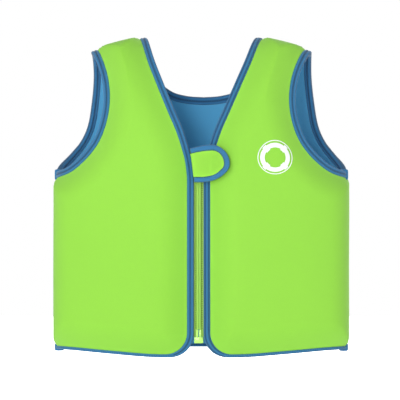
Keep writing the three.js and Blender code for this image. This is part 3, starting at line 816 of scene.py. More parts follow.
class Finish(Enum):
    """The vest's finishes."""

    # The outer fabric gets a painted highlight near its edges.
    OUTER = Fabric("Lime laminated knit", LIME, roughness=0.78, sheen=0.12, painted_edge_highlight=0.45)
    LINING = Fabric("Blue lining knit", BLUE, across=1300, along=1000, gap_dark=0.6)
    # The edge tape gets painted shade in its sewn grooves and along its edges; the flap tape along its
    # edges.
    BINDING = Fabric(
        "Blue edge tape", TAPE_BLUE, Weave.TWILL, 1250, 1500, gap_dark=0.6, dye=0.08, painted_tape_shade=0.9
    )
    PIPING = Fabric(
        "Blue flap tape", TAPE_BLUE, Weave.TWILL, 1250, 1500, gap_dark=0.6, dye=0.08, painted_tape_shade=0.7
    )
    THREAD = Fabric("Blue thread", scaled(TAPE_BLUE, 0.5), Weave.TWILL, 4000, 6000, bump=0.00005)
    LIME_THREAD = Fabric("Lime thread", scaled(LIME, 0.8), Weave.TWILL, 4000, 6000, bump=0.00005)
    # A copy of the lime thread darkened as painted shade, for the coil seam on the wearer's left.
    DARK_THREAD = Fabric("Dark lime thread", scaled(LIME, 0.3), Weave.TWILL, 4000, 6000)
    ZIP_TAPE = Fabric("Lime zip tape", linear(188, 240, 112), Weave.TWILL, 1700, 2300, gap_dark=0.55)
    COIL = Moulded("Lime coil", ZIP_LIME, roughness=0.38, coat=0.1)
    BOX = Moulded("Lime moulded box", ZIP_LIME, roughness=0.36, coat=0.2)
    ENAMEL = Moulded(
        "Lime enamel on metal", scaled(LIME, 0.85), 0.3, 0.25, 0.5, worn=(0.62, 0.63, 0.6, 1.0)
    )
    FOAM = Moulded("Closed-cell foam", (0.72, 0.73, 0.7, 1.0), 0.85, grain=1400, bump=0.0002)
    HOOK = Fabric("Hook tape", (0.33, 0.36, 0.34, 1.0), Weave.TWILL, 1200, 900, bump=0.0004)
    LOOP = Fabric("Loop tape", (0.42, 0.45, 0.43, 1.0), Weave.KNIT, 700, 600, bump=0.0005, sheen=0.6)
    PRINT = Moulded("White print film", (0.93, 0.95, 0.95, 1.0), 0.5, grain=500, bump=0.00002)

    @property
    def material(self) -> bpy.types.Material:
        """The material of this finish, made when it is first asked for."""
        return bpy.data.materials.get(self.value.name) or self.value.make()


# ---------------------------------------------------------------- making meshes


def vest_metres(points: np.ndarray) -> np.ndarray:
    """Points of the vest in metres, hung from its shoulder line."""
    return (points - [0.0, 0.0, SKIN_CROWN]) * MM


def corners(bm: bmesh.types.BMesh) -> np.ndarray:
    """The corners of a mesh in the making, one row each."""
    return np.array([vertex.co[:] for vertex in bm.verts], float).reshape(-1, 3)


def move_to(bm: bmesh.types.BMesh, points: np.ndarray) -> None:
    """Puts each corner of a mesh in the making where its row says."""
    for vertex, point in zip(bm.verts, points):
        vertex.co = point


def write_map(bm: bmesh.types.BMesh, flat: np.ndarray) -> None:
    """Writes the pattern's map, in metres, from two numbers for each corner."""
    layer = bm.loops.layers.uv.get("Pattern") or bm.loops.layers.uv.new("Pattern")
    bm.verts.index_update()
    for face in bm.faces:
        for loop in face.loops:
            loop[layer].uv = flat[loop.vert.index]


def slab(columns: int, rows: int) -> bmesh.types.BMesh:
    """A closed sheet of columns by rows between 0 and 1, with its underside at z = -1.

    Args:
        columns: Cells across.
        rows: Cells up.

    Returns:
        The mesh in the making.
    """
    bm = bmesh.new()
    bmesh.ops.create_grid(bm, x_segments=columns, y_segments=rows, size=0.5)
    bmesh.ops.translate(bm, verts=bm.verts, vec=(0.5, 0.5, 0.0))
    made = bmesh.ops.extrude_face_region(bm, geom=bm.faces[:], use_keep_orig=True)
    under = [part for part in made["geom"] if isinstance(part, bmesh.types.BMVert)]
    bmesh.ops.translate(bm, verts=under, vec=(0.0, 0.0, -1.0))
    return bm


def swept(around: int, stations: int) -> tuple[bmesh.types.BMesh, np.ndarray, np.ndarray, np.ndarray]:
    """A sheet to be rolled into a bar.

    Args:
        around: Cells round the section.
        stations: Cells along the bar.

    Returns:
        The mesh in the making, and for each corner its share round the section, its angle there
        and its share along the bar.
    """
    bm = bmesh.new()
    bmesh.ops.create_grid(bm, x_segments=around, y_segments=stations, size=0.5)
    bmesh.ops.translate(bm, verts=bm.verts, vec=(0.5, 0.5, 0.0))
    grid = corners(bm)
    return bm, grid[:, 0], 2 * math.pi * (grid[:, 0] % 1.0), grid[:, 1]


def by_face(grid: np.ndarray, upper: np.ndarray | float, under: np.ndarray | float) -> np.ndarray:
    """One value on a slab's upper face and another on its under face."""
    return np.where(grid[:, 2] > -0.5, upper, under)


def mark(piece: bpy.types.Object, name: str, values: np.ndarray) -> None:
    """Writes a number at each corner of a piece, for its finish to read."""
    layer = piece.data.attributes.new(name, "FLOAT", "POINT")
    layer.data.foreach_set("value", values.astype(np.float32))


def uneven(places: np.ndarray, across: float, up: float, seed: float) -> np.ndarray:
    """Smooth noise over places, with swells of the given width and height in mm."""
    return np.array([noise.noise(Vector((g / across, h / up, seed))) for g, h in places])


def close_bar(bm: bmesh.types.BMesh) -> None:
    """Welds the seam of a rolled bar and caps its two ends."""
    bmesh.ops.remove_doubles(bm, verts=bm.verts, dist=1e-6)
    open_edges = [edge for edge in bm.edges if edge.is_boundary]
    bmesh.ops.holes_fill(bm, edges=open_edges, sides=0)


def finished(
    name: str, bm: bmesh.types.BMesh, finish: Finish, slot: str, sharp: float = 50.0
) -> bpy.types.Object:
    """Turns a mesh in the making into a piece.

    Args:
        name: Name of the piece.
        bm: The mesh, in metres.
        finish: Its finish.
        slot: The record's material slot; not used.
        sharp: Edges that turn by more than this many degrees stay crisp.

    Returns:
        The object, at the origin with its place in its mesh.
    """
    bmesh.ops.recalc_face_normals(bm, faces=bm.faces)
    for face in bm.faces:
        face.smooth = True
    mesh = bpy.data.meshes.new(name)
    bm.to_mesh(mesh)
    bm.free()
    mesh.set_sharp_from_angle(angle=math.radians(sharp))
    mesh.materials.append(finish.material)
    piece = bpy.data.objects.new(name, mesh)
    bpy.context.scene.collection.objects.link(piece)
    log.info("%s: %d faces", name, len(mesh.polygons))
    return piece


class Hold(Enum):
    """How a piece moves with the vest."""

    BACK = "back"
    HALF = "half"
    BENDS = "bends"
    TAB = "tab"


def hold(piece: bpy.types.Object, how: Hold, side: Side = Side.RIGHT) -> bpy.types.Object:
    """Ties a piece to its body, or else bakes its place into its mesh."""
    bodies = {Hold.BACK: "back", Hold.TAB: "tab", Hold.HALF: side.front_body}
    if how in bodies:
        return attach(piece, bodies[how])
    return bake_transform(piece, "back", side.front_body, start=(0, 0, -0.0125), end=(0, 0, -0.108))


# ---------------------------------------------------------------- panels


def relief(panel: Panel, places: np.ndarray, seed: float, size: float) -> np.ndarray:
    """How far a soft panel stands out unevenly, in mm, always outwards.

    Args:
        panel: The panel, whose border is sewn down.
        places: Girths and heights.
        seed: Number that tells this panel's unevenness from another's.
        size: Most that the broad swells stand out.

    Returns:
        The extra lift of each place.
    """
    distance, along = panel.edge_distance(places)
    broad, small = uneven(places, 52, 60, seed), uneven(places, 17, 22, seed + 7)
    wander = np.array([noise.noise(Vector((s / 40, seed + 3, 0.0))) for s in along])
    free = 1 - np.exp(-distance / 9)
    pucker = np.exp(-distance / 7) * (1 - np.exp(-distance / 1.5))
    ripple = 0.5 + 0.5 * np.sin(2 * math.pi * along / 8.5 + 5 * wander)
    swell = size * (0.5 + 0.5 * np.clip(2 * broad, -1, 1)) + 0.12 * size * (1 + small)
    return free * swell + 0.35 * size * pucker * ripple * (0.6 + wander)


@dataclass
class PanelSet:
    """The three layers of one panel: lining, foam and outer fabric."""

    panel: Panel
    side: Side
    seed: float
    swell: float = 0.55
    lining_swell: float = 0.45
    foam_inset: float = 0.07

    @property
    def stem(self) -> str:
        """Start of the names of this panel's nodes."""
        return "back" if self.panel.facing is Facing.BACK else f"{self.side.word}_front"

    def to_vest(self, places: np.ndarray, lift: np.ndarray) -> np.ndarray:
        """Places of the left front's wall at a lift, on this panel's own side of the vest."""
        points = WALL.on(places[..., 0], places[..., 1], lift)
        return vest_metres(points * [self.side.value, self.panel.facing.value, 1])

    def outer_lift(self, places: np.ndarray) -> np.ndarray:
        """Lift of the outer fabric's face."""
        rise = LAYERS.rise(self.panel.edge_distance(places)[0])
        uneven = relief(self.panel, places, self.seed, self.swell)
        return LAYERS.under_shell(rise) + LAYERS.shell + uneven

    def layer(
        self, name: str, finish: Finish, slot: str, inset: float, lifts: Callable, coarse: int = 1
    ) -> bpy.types.Object:
        """Builds one layer.

        Args:
            name: Word for the layer at the end of its names.
            finish: Its finish.
            slot: The record's material slot.
            inset: Share of the panel that is left out at each edge.
            lifts: Gives the lifts of the upper and under face from places.
            coarse: How many times fewer cells it has than the panel.

        Returns:
            The piece.
        """
        bm = slab(self.panel.columns // coarse, self.panel.rows // coarse)
        grid = corners(bm)
        spread = 0.0 if inset else 0.5
        u = inset + (1 - 2 * inset) * crowded(grid[:, 0], spread)
        v = inset * 0.5 + (1 - inset) * grid[:, 1]
        places = self.panel.place(u, v)
        high, low = lifts(places)
        move_to(bm, self.to_vest(places, by_face(grid, high, low)))
        write_map(bm, places * MM)
        # Closeness to the border; the outer fabric's finish paints a highlight there.
        near = np.exp(-self.panel.edge_distance(places)[0] / 3.0)
        piece = finished(f"{self.stem}_{name}", bm, finish, slot)
        mark(piece, "near_edge", near)
        return piece

    def shell_lifts(self, places: np.ndarray) -> tuple[np.ndarray, np.ndarray]:
        """Lifts of the outer fabric's two faces."""
        high = self.outer_lift(places)
        return high, high - LAYERS.shell

    def foam_lifts(self, places: np.ndarray) -> tuple[np.ndarray, np.ndarray]:
        """Lifts of the foam's two faces."""
        rise = LAYERS.rise(self.panel.edge_distance(places)[0])
        low = np.full(len(places), LAYERS.lining + LAYERS.gap)
        return np.maximum(LAYERS.under_shell(rise) - LAYERS.gap, low + 0.4), low

    def lining_lifts(self, places: np.ndarray) -> tuple[np.ndarray, np.ndarray]:
        """Lifts of the lining's two faces; its folds stand towards the wearer."""
        fold = relief(self.panel, places, self.seed + 20, self.lining_swell)
        return LAYERS.lining - fold, -fold

    def flat_size(self) -> tuple[tuple[float, float], float]:
        """The cut size of the panel: width, length and area, in metres."""
        border = self.panel.border
        width, length = (border.max(axis=0) - border.min(axis=0)) * MM
        x, y = border[:, 0] * MM, border[:, 1] * MM
        area = 0.5 * abs(float(np.dot(x[:-1], y[1:]) - np.dot(y[:-1], x[1:])))
        return (float(width), float(length)), min(area, float(width * length))

    def build(self) -> list[bpy.types.Object]:
        how = Hold.BACK if self.panel.facing is Facing.BACK else Hold.BENDS
        flat, area = self.flat_size()
        foam = self.layer("pad", Finish.FOAM, "foam_core", self.foam_inset, self.foam_lifts, 2)
        shell = self.layer("outer", Finish.OUTER, "outer_fabric", 0.0, self.shell_lifts)
        lining = self.layer("inner", Finish.LINING, "lining_fabric", 0.0, self.lining_lifts)
        for piece, node in ((foam, "foam"), (shell, "shell"), (lining, "lining")):
            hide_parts(f"{self.stem}_{node}")
            hold(piece, how, self.side)
        return [foam, shell, lining]


# ---------------------------------------------------------------- stitches and bindings


@dataclass(frozen=True)
class Stitch:
    """A row of stitches of one thread."""

    length: float = 1.7
    pitch: float = 2.5
    thread: float = 0.34
    sway: float = 0.0

    def row(self, points: np.ndarray, normals: np.ndarray) -> np.ndarray:
        """Places the stitches of a row.

        Args:
            points: The line that they follow, closely spaced, in mm.
            normals: Unit vectors away from the fabric, one for each point.

        Returns:
            For each stitch its middle, its half length, its half width and its half thickness,
            as four vectors.
        """
        length = running_length(points)
        count = max(int(length[-1] / self.pitch), 1)
        start = (np.arange(count) + 0.5) * length[-1] / count - self.length / 2
        ends = [read(start, length, points), read(start + self.length, length, points)]
        normal = read(start, length, normals)
        across = unit(np.cross(normal, ends[1] - ends[0]))
        lean = across * self.sway * np.where(np.arange(count) % 2, 1.0, -1.0)[:, None]
        half = (ends[1] - ends[0]) / 2 + lean
        wide = unit(np.cross(normal, half)) * self.thread
        return np.stack([(ends[0] + ends[1]) / 2, half, wide, normal * self.thread * 0.8], axis=1)


def thread_copies(count: int, apart: float = 10.0) -> bmesh.types.BMesh:
    """Copies of one short, round-ended stitch of half length 1, side by side along X.

    Args:
        count: How many.
        apart: Distance between two.

    Returns:
        The mesh in the making.
    """
    bm = bmesh.new()
    bmesh.ops.create_uvsphere(bm, u_segments=6, v_segments=4, radius=1.0)
    made = 1
    while made < count:
        more = min(made, count - made)
        end = apart * (more - 0.5)
        part = [face for face in bm.faces if face.verts[0].co.x < end]
        copied = bmesh.ops.duplicate(bm, geom=part)
        fresh = [item for item in copied["geom"] if isinstance(item, bmesh.types.BMVert)]
        bmesh.ops.translate(bm, verts=fresh, vec=(apart * made, 0.0, 0.0))
        made += more
    return bm


def sewn(
    name: str, rows: Sequence[np.ndarray], finish: Finish, slot: str = "binding_tape"
) -> bpy.types.Object:
    """Builds all the stitches of a piece.

    Args:
        name: Name of the piece.
        rows: What Stitch.row gave for each row, in mm from the hem.
        finish: The thread's finish.
        slot: The record's material slot.

    Returns:
        The piece.
    """
    stitches = np.concatenate(rows)
    apart = 10.0
    bm = thread_copies(len(stitches), apart)
    points = corners(bm)
    number = np.rint(points[:, 0] / apart).astype(int)
    points[:, 0] -= apart * number
    middle, half, wide, thick = (stitches[number, k] for k in range(4))
    to = middle + wide * points[:, :1] + thick * points[:, 1:2] + half * points[:, 2:]
    to = vest_metres(to)
    move_to(bm, to)
    write_map(bm, to[:, [0, 2]])
    return finished(name, bm, finish, slot, sharp=80)


def edge_shade(share: float, _along: float = 0.0) -> float:
    """Painted shade of a folded tape close to its two edges, at a share of its width."""
    return 0.8 * max(math.exp(-((share / 0.1) ** 2)), math.exp(-(((1 - share) / 0.1) ** 2)))


def write_painted_shade(
    tape: bpy.types.Object, around: float, painted_shade_at: Callable[[float, float], float]
) -> None:
    """Writes the painted shade of a folded tape, for its finish.

    Args:
        tape: The tape, whose map runs round it and then along it.
        around: Length of the map round the tape.
        painted_shade_at: Gives the painted shade at a share of the width and a length along the tape.
    """
    layer = tape.data.uv_layers["Pattern"].data
    values = np.zeros(len(tape.data.vertices), np.float32)
    for loop in tape.data.loops:
        turn, along = layer[loop.index].uv
        values[loop.vertex_index] = painted_shade_at(0.5 + 0.5 * math.cos(2 * math.pi * turn / around), along)
    # The "sewn" attribute holds painted shade in the sewn grooves and along the tape's edges.
    mark(tape, "sewn", values)


@dataclass
class Binding:
    """A tape folded over an edge and sewn down in one or two grooves."""

    name: str
    node: str
    places: np.ndarray
    turn: int
    start: tuple[float, float]
    end: tuple[float, float]
    facing: Facing
    side: Side
    how: Hold
    width: Callable[[np.ndarray], np.ndarray]
    grooves: tuple[float, ...] = (0.5,)
    inner_sway: float = 0.9
    under: float = 0.6
    over: float = 1.1
    overlap: float = 0.35
    around: int = 36
    spacing: float = 1.5
    groove_depth: float = 1.05
    one_row_spread: float = 0.09
    two_row_spread: float = 0.06
    map_around: float = 0.022

    def __post_init__(self) -> None:
        """Spaces the stations evenly and finds the direction away from the fabric at each."""
        line = Line(self.places)
        count = int(line.length[-1] / self.spacing)
        self.places = line.at(np.linspace(0, 1, count + 1))
        along = unit(np.gradient(self.places, axis=0))
        away = np.stack([along[:, 1], -along[:, 0]], axis=1) * self.turn
        fade = np.linspace(0, 1, 5)[:, None]
        away[:5] = fade * away[:5] + (1 - fade) * np.array(self.start)
        away[-5:] = fade[::-1] * away[-5:] + (1 - fade[::-1]) * np.array(self.end)
        self.away = unit(away)
        self.widths = self.width(self.places)

    def points(self, station: np.ndarray, along: np.ndarray, lift: np.ndarray) -> np.ndarray:
        """Points of the binding in mm.

        Args:
            station: Number of the station, which may be a fraction.
            along: Share of the way from the fabric to the outer edge.
            lift: Lift over the wearer's side.

        Returns:
            Points, one row each.
        """
        number = np.arange(len(self.places))
        width = np.interp(station, number, self.widths)
        reach = along * (width + self.overlap) - self.overlap
        places = read(station, number, self.places) + read(station, number, self.away) * reach[:, None]
        points = WALL.on(places[:, 0], np.minimum(places[:, 1], WALL.shoulder), lift)
        return points * [self.side.value, self.facing.value, 1]

    def groove(self, along: np.ndarray, station: np.ndarray) -> np.ndarray:
        """Depth of the sewn grooves at a share of the width."""
        width = np.interp(station, np.arange(len(self.widths)), self.widths)
        spread = self.one_row_spread if len(self.grooves) == 1 else self.two_row_spread
        depth = sum(np.exp(-(((along - g) / spread) ** 2)) for g in self.grooves)
        pulled = 0.85 + 0.15 * np.sin(2 * math.pi * station * self.spacing / 2.5)
        return self.groove_depth * depth * pulled * np.clip((width - 3.0) / 3.0, 0.0, 1.0)

    def build(self) -> list[bpy.types.Object]:
        """Builds the tape and its stitches."""
        bm, around, angle, share = swept(self.around, len(self.places) - 1)
        station = share * (len(self.places) - 1)
        along = 0.5 + 0.5 * squared(np.cos(angle), 0.8)
        middle = (LAYERS.pinched + self.over - self.under) / 2
        half = (LAYERS.pinched + self.over + self.under) / 2
        sine = np.sin(angle)
        on_face = np.abs(sine) >= 0.25
        lift = middle + half * squared(sine, 0.6)
        lift = lift - np.where(on_face, np.sign(sine) * self.groove(along, station), 0.0)
        move_to(bm, vest_metres(self.points(station, along, lift)))
        write_map(bm, np.stack([around * self.map_around, station * self.spacing * MM], axis=1))
        close_bar(bm)
        tape = finished(self.name, bm, Finish.BINDING, "binding_tape", sharp=70)
        # Painted shade in the sewn grooves and along the tape's two edges.
        write_painted_shade(tape, self.map_around, self.painted_shade_at)
        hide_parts(self.node)
        thread = self.stitches()
        for piece in (tape, thread):
            hold(piece, self.how, self.side)
        return [tape, thread]

    def painted_shade_at(self, share: float, along: float) -> float:
        """Painted shade of the tape at a share of its width: in its sewn grooves and along its two
        edges.
        """
        width = float(np.interp(along / (self.spacing * MM), np.arange(len(self.widths)), self.widths))
        depth = max(math.exp(-(((share - g) / 0.1) ** 2)) for g in self.grooves)
        return max(depth if width > 4.5 else 0.0, edge_shade(share))

    def stitches(self) -> bpy.types.Object:
        """The thread on both faces of the tape, in one piece."""
        rows = []
        station = np.linspace(1.0, len(self.places) - 2.0, 2 * len(self.places))
        for share in self.grooves:
            along = np.full_like(station, share)
            depth = self.groove(along, station)
            for face, sway in ((1, 0.0), (-1, self.inner_sway)):
                top = LAYERS.pinched + self.over if face > 0 else -self.under
                lift = top - face * (depth - 0.12)
                line = self.points(station, along, lift)
                beyond = self.points(station, along, lift + face)
                rows.append(Stitch(sway=sway).row(line, beyond - line))
        return sewn(f"{self.name}_stitches", rows, Finish.THREAD)


@dataclass
class Bindings:
    """Every bound edge of the vest."""

    width: float = 7.1
    hem_width: float = 3.4

    def front_width(self, places: np.ndarray) -> np.ndarray:
        """Width of a front's binding: narrow along the hem, full beside the zip."""
        share = np.clip((CUT.border_x + CUT.corner_radius - places[:, 0]) / CUT.corner_radius, 0, 1)
        share = np.where(places[:, 1] > CUT.hem_front + CUT.corner_radius, 1.0, share)
        share = share * share * (3 - 2 * share)
        return self.hem_width + (self.width - self.hem_width) * share

    def full_width(self, places: np.ndarray) -> np.ndarray:
        """Width of a binding that is full all along."""
        return np.full(len(places), self.width)

    def narrow_width(self, places: np.ndarray) -> np.ndarray:
        """Width of a binding that is narrow all along."""
        return np.full(len(places), self.hem_width)

    def edge_places(self, panel: Panel, u: Sequence[float], v: Sequence[float]) -> np.ndarray:
        """Places along an edge of a panel between two corners given as shares."""
        share = np.linspace(0, 1, 700)
        return panel.place(u[0] + (u[1] - u[0]) * share, v[0] + (v[1] - v[0]) * share)

    def build(self) -> None:
        """Builds the eight bindings."""
        hem = self.edge_places(FRONT, (0, 1), (0, 0))
        edge = self.edge_places(FRONT, (1, 1), (0, 1))
        front = np.vstack([hem, edge[1:]])
        up, down, out, inward = (0.0, 1.0), (0.0, -1.0), (1.0, 0.0), (-1.0, 0.0)
        for side in Side:
            rows = (0.5,) if side is Side.RIGHT else (0.27, 0.72)
            stem = f"{side.word}_front"
            Binding(
                f"{stem}_edge_tape", f"{stem}_binding", front, -1, down, inward,
                Facing.FRONT, side, Hold.BENDS, self.front_width, rows,
            ).build()
            for facing, panel in ((Facing.FRONT, FRONT), (Facing.BACK, BACK)):
                word = facing.name.lower()
                armhole = self.edge_places(panel, (0, 0), (CUT.armpit_share, 1))
                how = Hold.BENDS if facing is Facing.FRONT else Hold.BACK
                Binding(
                    f"{side.word}_{word}_armhole_tape", f"{side.word}_{word}_armhole_binding",
                    armhole, 1, up, out, facing, side, how, self.full_width,
                ).build()
        neck = self.edge_places(BACK, (CUT.strap_share, 1 - CUT.strap_share), (1, 1))
        Binding(
            "back_neck_tape", "back_neck_binding", neck, 1, inward, out,
            Facing.BACK, Side.LEFT, Hold.BACK, self.full_width,
        ).build()
        low = self.edge_places(BACK, (0, 1), (0, 0))
        Binding(
            "back_hem_tape", "back_hem_binding", low, -1, down, down,
            Facing.BACK, Side.LEFT, Hold.BACK, self.narrow_width,
        ).build()


# ---------------------------------------------------------------- seams


@dataclass
class Seams:
    """Side and shoulder seams: flat cover stitches, and the folded ends of the hem tape."""

    cover: Stitch = Stitch(length=2.0, pitch=1.9, thread=0.36, sway=1.1)
    hem_fold: tuple[float, ...] = (9.4, 9.0, 8.0)
    armpit_fold: tuple[float, ...] = (9.6, 7.4, 11.5)
    proud: float = 0.15

    def seam(self, name: str, side: Side, runs: Sequence[tuple[np.ndarray, tuple[int, ...]]]) -> None:
        """Sews the cover stitches of one seam.

        Args:
            name: Name of the seam.
            side: The side of the vest.
            runs: For each row of stitches its line on the wearer's left and its way outwards.
        """
        flip = np.array([side.value, 1, 1])
        rows = []
        for line, out in runs:
            line[:, 1] = 0.0
            rows.append(self.cover.row(line * flip, np.tile(flip * out, (len(line), 1))))
        piece = sewn(f"{side.word}_{name}_stitches", rows, Finish.LIME_THREAD, "outer_fabric")
        hold(piece, Hold.BACK)

    def side_seam(self, side: Side) -> None:
        """The seam between the back and a front, outside and inside."""
        height = np.linspace(CUT.hem_side + 2, CUT.armpit - 2, 300)
        girth = np.full_like(height, WALL.side_girth - 0.4)
        outer = WALL.on(girth, height, LAYERS.pinched + self.proud)
        inner = WALL.on(girth, height, -self.proud)
        self.seam("side_seam", side, [(outer, (1, 0, 0)), (inner, (-1, 0, 0))])

    def shoulder_seam(self, side: Side) -> None:
        """The seam over the shoulder."""
        share = np.linspace(0.06, 0.94, 90)
        girth = CUT.arm_end[0] + (CUT.neck_end[0] - CUT.arm_end[0]) * share
        height = np.full_like(girth, WALL.shoulder)
        rise = LAYERS.rise(FRONT.edge_distance(np.stack([girth, height], axis=1))[0])
        lift = LAYERS.under_shell(rise) + LAYERS.shell + self.proud
        self.seam("shoulder", side, [(WALL.on(girth, height, lift), (0, 0, 1))])

    def fold(self, name: str, side: Side, size: tuple[float, ...], height: float) -> None:
        """A tape's end, folded over one end of the side seam.

        Args:
            name: Name of the piece.
            side: The side of the vest.
            size: Its thickness, width and height.
            height: Height of its middle.
        """
        bm = bmesh.new()
        bmesh.ops.create_cube(bm, size=1.0)
        bmesh.ops.subdivide_edges(bm, edges=bm.edges[:], cuts=3, use_grid_fill=True)
        for _ in range(2):
            bmesh.ops.smooth_vert(
                bm, verts=bm.verts, factor=0.5, use_axis_x=True, use_axis_y=True, use_axis_z=True
            )
        bmesh.ops.subdivide_edges(bm, edges=bm.edges[:], cuts=1, use_grid_fill=True, smooth=0.6)
        bmesh.ops.scale(bm, verts=bm.verts, vec=size)
        middle = (side.value * (WALL.half_width + LAYERS.pinched / 2 - 0.2), 0.0, height)
        bmesh.ops.translate(bm, verts=bm.verts, vec=middle)
        points = corners(bm)
        write_map(bm, points[:, [1, 2]] * MM)
        move_to(bm, vest_metres(points))
        hold(finished(name, bm, Finish.BINDING, "binding_tape", 80), Hold.BACK)

    def build(self) -> None:
        """Builds the seams of both sides."""
        for side in Side:
            self.side_seam(side)
            self.shoulder_seam(side)
            self.fold(f"{side.word}_hem_fold", side, self.hem_fold, CUT.hem_side - 1.6)
            self.fold(f"{side.word}_armpit_fold", side, self.armpit_fold, CUT.armpit + 4.2)


# ---------------------------------------------------------------- zip


@dataclass
class Zip:
    """Both halves of the zip: woven tape and moulded coil; its metal and plastic ends are built as
    fittings.
    """

    coil_low: float = 30.1
    coil_high: float = 211.6
    pitch: float = 1.3
    wire: float = 0.3
    chain_low: float = -0.6
    chain_top: float = 1.8
    inner: float = -0.42
    outer: float = 2.85
    skew: float = 0.22
    per_turn: int = 12
    tape_edge: float = 0.5
    tape_width: float = 14.0
    tape_low: float = 22.2
    tape_high: float = 217.0
    cord_rise: float = 0.32
    cord_at: float = 4.2
    cord_spread: float = 0.5

    def coil(self, side: Side) -> bpy.types.Object:
        """Winds one half's coil, a flattened spring whose slanted turns meet the other half's.

        Args:
            side: The half of the zip.

        Returns:
            The coil.
        """
        turns = (self.coil_high - self.coil_low) / self.pitch
        steps = int(turns * self.per_turn)
        bm, around, psi, share = swept(6, steps)
        theta = share * steps / self.per_turn * 2 * math.pi
        shift = 0.0 if side is Side.LEFT else math.pi
        middle = (self.inner + self.outer) / 2
        reach = (self.outer - self.inner) / 2 - self.wire
        rise = (self.chain_top - self.chain_low) / 2 - self.wire
        lift = (self.chain_top + self.chain_low) / 2

        def path(angle: np.ndarray) -> np.ndarray:
            """Centre of the wire at an angle of the spring."""
            x = middle - reach * np.cos(angle + shift)
            y = -WALL.half_gap - WALL.half_depth - lift - rise * np.sin(angle + shift)
            z = self.coil_low + self.wire + self.pitch * angle / (2 * math.pi)
            return np.stack([x, y, z - self.skew * np.cos(angle + shift)], axis=1)

        ahead = unit(path(theta + 0.02) - path(theta - 0.02))
        first = unit(np.cross(ahead, [0.0, 0.0, 1.0]))
        second = np.cross(ahead, first)
        ring = first * np.cos(psi)[:, None] + second * np.sin(psi)[:, None]
        points = path(theta) + self.wire * ring
        points[:, 2] = np.clip(points[:, 2], self.coil_low - 0.3, self.coil_high + 0.3)
        move_to(bm, vest_metres(points * [side.value, 1, 1]))
        write_map(bm, np.stack([around, theta], axis=1) * MM)
        close_bar(bm)
        piece = finished(f"{side.word}_coil", bm, Finish.COIL, "zip_coil", sharp=80)
        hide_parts(f"{side.word}_zip_chain")
        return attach(piece, side.front_body)

    def filler(self, side: Side) -> bpy.types.Object:
        """The cord that fills one half's coil."""
        bm, around, angle, along = swept(10, 120)
        x = 1.35 + 0.85 * np.cos(angle)
        lift = (self.chain_top + self.chain_low) / 2 + 0.5 * np.sin(angle)
        y = -WALL.half_gap - WALL.half_depth - lift
        z = self.coil_low + (self.coil_high - self.coil_low) * along
        move_to(bm, vest_metres(np.stack([x * side.value, y, z], axis=1)))
        write_map(bm, np.stack([around * 4, z], axis=1) * MM)
        close_bar(bm)
        piece = finished(f"{side.word}_coil_filler", bm, Finish.ZIP_TAPE, "zip_cloth", sharp=80)
        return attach(piece, side.front_body)

    def tape(self, side: Side) -> bpy.types.Object:
        """Weaves one half's tape, with a raised cord beside the coil.

        Args:
            side: The half of the zip.

        Returns:
            The tape.
        """
        bm = slab(22, 160)
        grid = corners(bm)
        girth = self.tape_edge + (self.tape_width - self.tape_edge) * grid[:, 0]
        height = self.tape_low + (self.tape_high - self.tape_low) * grid[:, 1]
        cord = self.cord_rise * np.exp(-(((girth - self.cord_at) / self.cord_spread) ** 2))
        lift = by_face(grid, self.chain_low - 0.3 + cord, self.chain_low - 1.3)
        points = WALL.on(girth, height, lift) * [side.value, 1, 1]
        move_to(bm, vest_metres(points))
        write_map(bm, np.stack([girth, height], axis=1) * MM)
        piece = finished(f"{side.word}_tape", bm, Finish.ZIP_TAPE, "zip_cloth")
        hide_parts(f"{side.word}_zip_tape")
        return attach(piece, side.front_body)

    def seam(self, side: Side) -> bpy.types.Object:
        """The chain stitch that holds the coil on its tape."""
        height = np.linspace(self.coil_low, self.coil_high, 400)
        girth = np.full_like(height, 3.35)
        line = WALL.on(girth, height, self.chain_low + 0.05)
        beyond = WALL.on(girth, height, self.chain_low + 1.05)
        flip = np.array([side.value, 1, 1])
        row = Stitch(length=1.5, pitch=2.3, thread=0.42).row(line * flip, (beyond - line) * flip)
        # The wearer's left seam gets the thread darkened as painted shade.
        finish = Finish.DARK_THREAD if side is Side.LEFT else Finish.LIME_THREAD
        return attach(sewn(f"{side.word}_coil_seam", [row], finish, "zip_cloth"), side.front_body)

    def build(self) -> None:
        """Builds both halves."""
        for side in Side:
            self.coil(side)
            self.filler(side)
            self.tape(side)
            self.seam(side)


@dataclass(frozen=True)
class Fitting:
    """A hard fitting, remade from its node with rounded edges."""

    name: str
    node: str
    body: str
    finish: Finish
    slot: str
    radius: float = 0.22

    def build(self) -> bpy.types.Object:
        """Rounds the fitting's edges and ties it to its body."""
        bm = bmesh.new()
        bm.from_mesh(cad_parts[self.node].data)
        bmesh.ops.remove_doubles(bm, verts=bm.verts, dist=2e-6)
        bmesh.ops.dissolve_limit(
            bm, angle_limit=math.radians(2), verts=bm.verts[:], edges=bm.edges[:]
        )
        sharp = [e for e in bm.edges if e.is_manifold and e.calc_face_angle(0.0) > 0.5]
        bmesh.ops.bevel(
            bm, geom=sharp, offset=self.radius * MM, offset_type="OFFSET", segments=3,
            profile=0.5, affect="EDGES", material=-1, clamp_overlap=True,
        )
        points = corners(bm)
        write_map(bm, points[:, [0, 2]])
        piece = finished(self.name, bm, self.finish, self.slot, sharp=35)
        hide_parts(self.node)
        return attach(piece, self.body)


FITTINGS = (
    Fitting("slider_body", "zip_slider", "slider", Finish.ENAMEL, "zip_hardware", 0.2),
    Fitting("slider_handle", "slider_pull", "pull", Finish.ENAMEL, "zip_hardware", 0.3),
    Fitting("zip_box", "retainer_box", "right_front", Finish.BOX, "zip_box", 0.3),
    Fitting("zip_pin", "insertion_pin", "left_front", Finish.BOX, "zip_box", 0.25),
    Fitting("right_stop", "right_top_stop", "right_front", Finish.BOX, "zip_box", 0.3),
    Fitting("left_stop", "left_top_stop", "left_front", Finish.BOX, "zip_box", 0.3),
)


# ---------------------------------------------------------------- safety flap


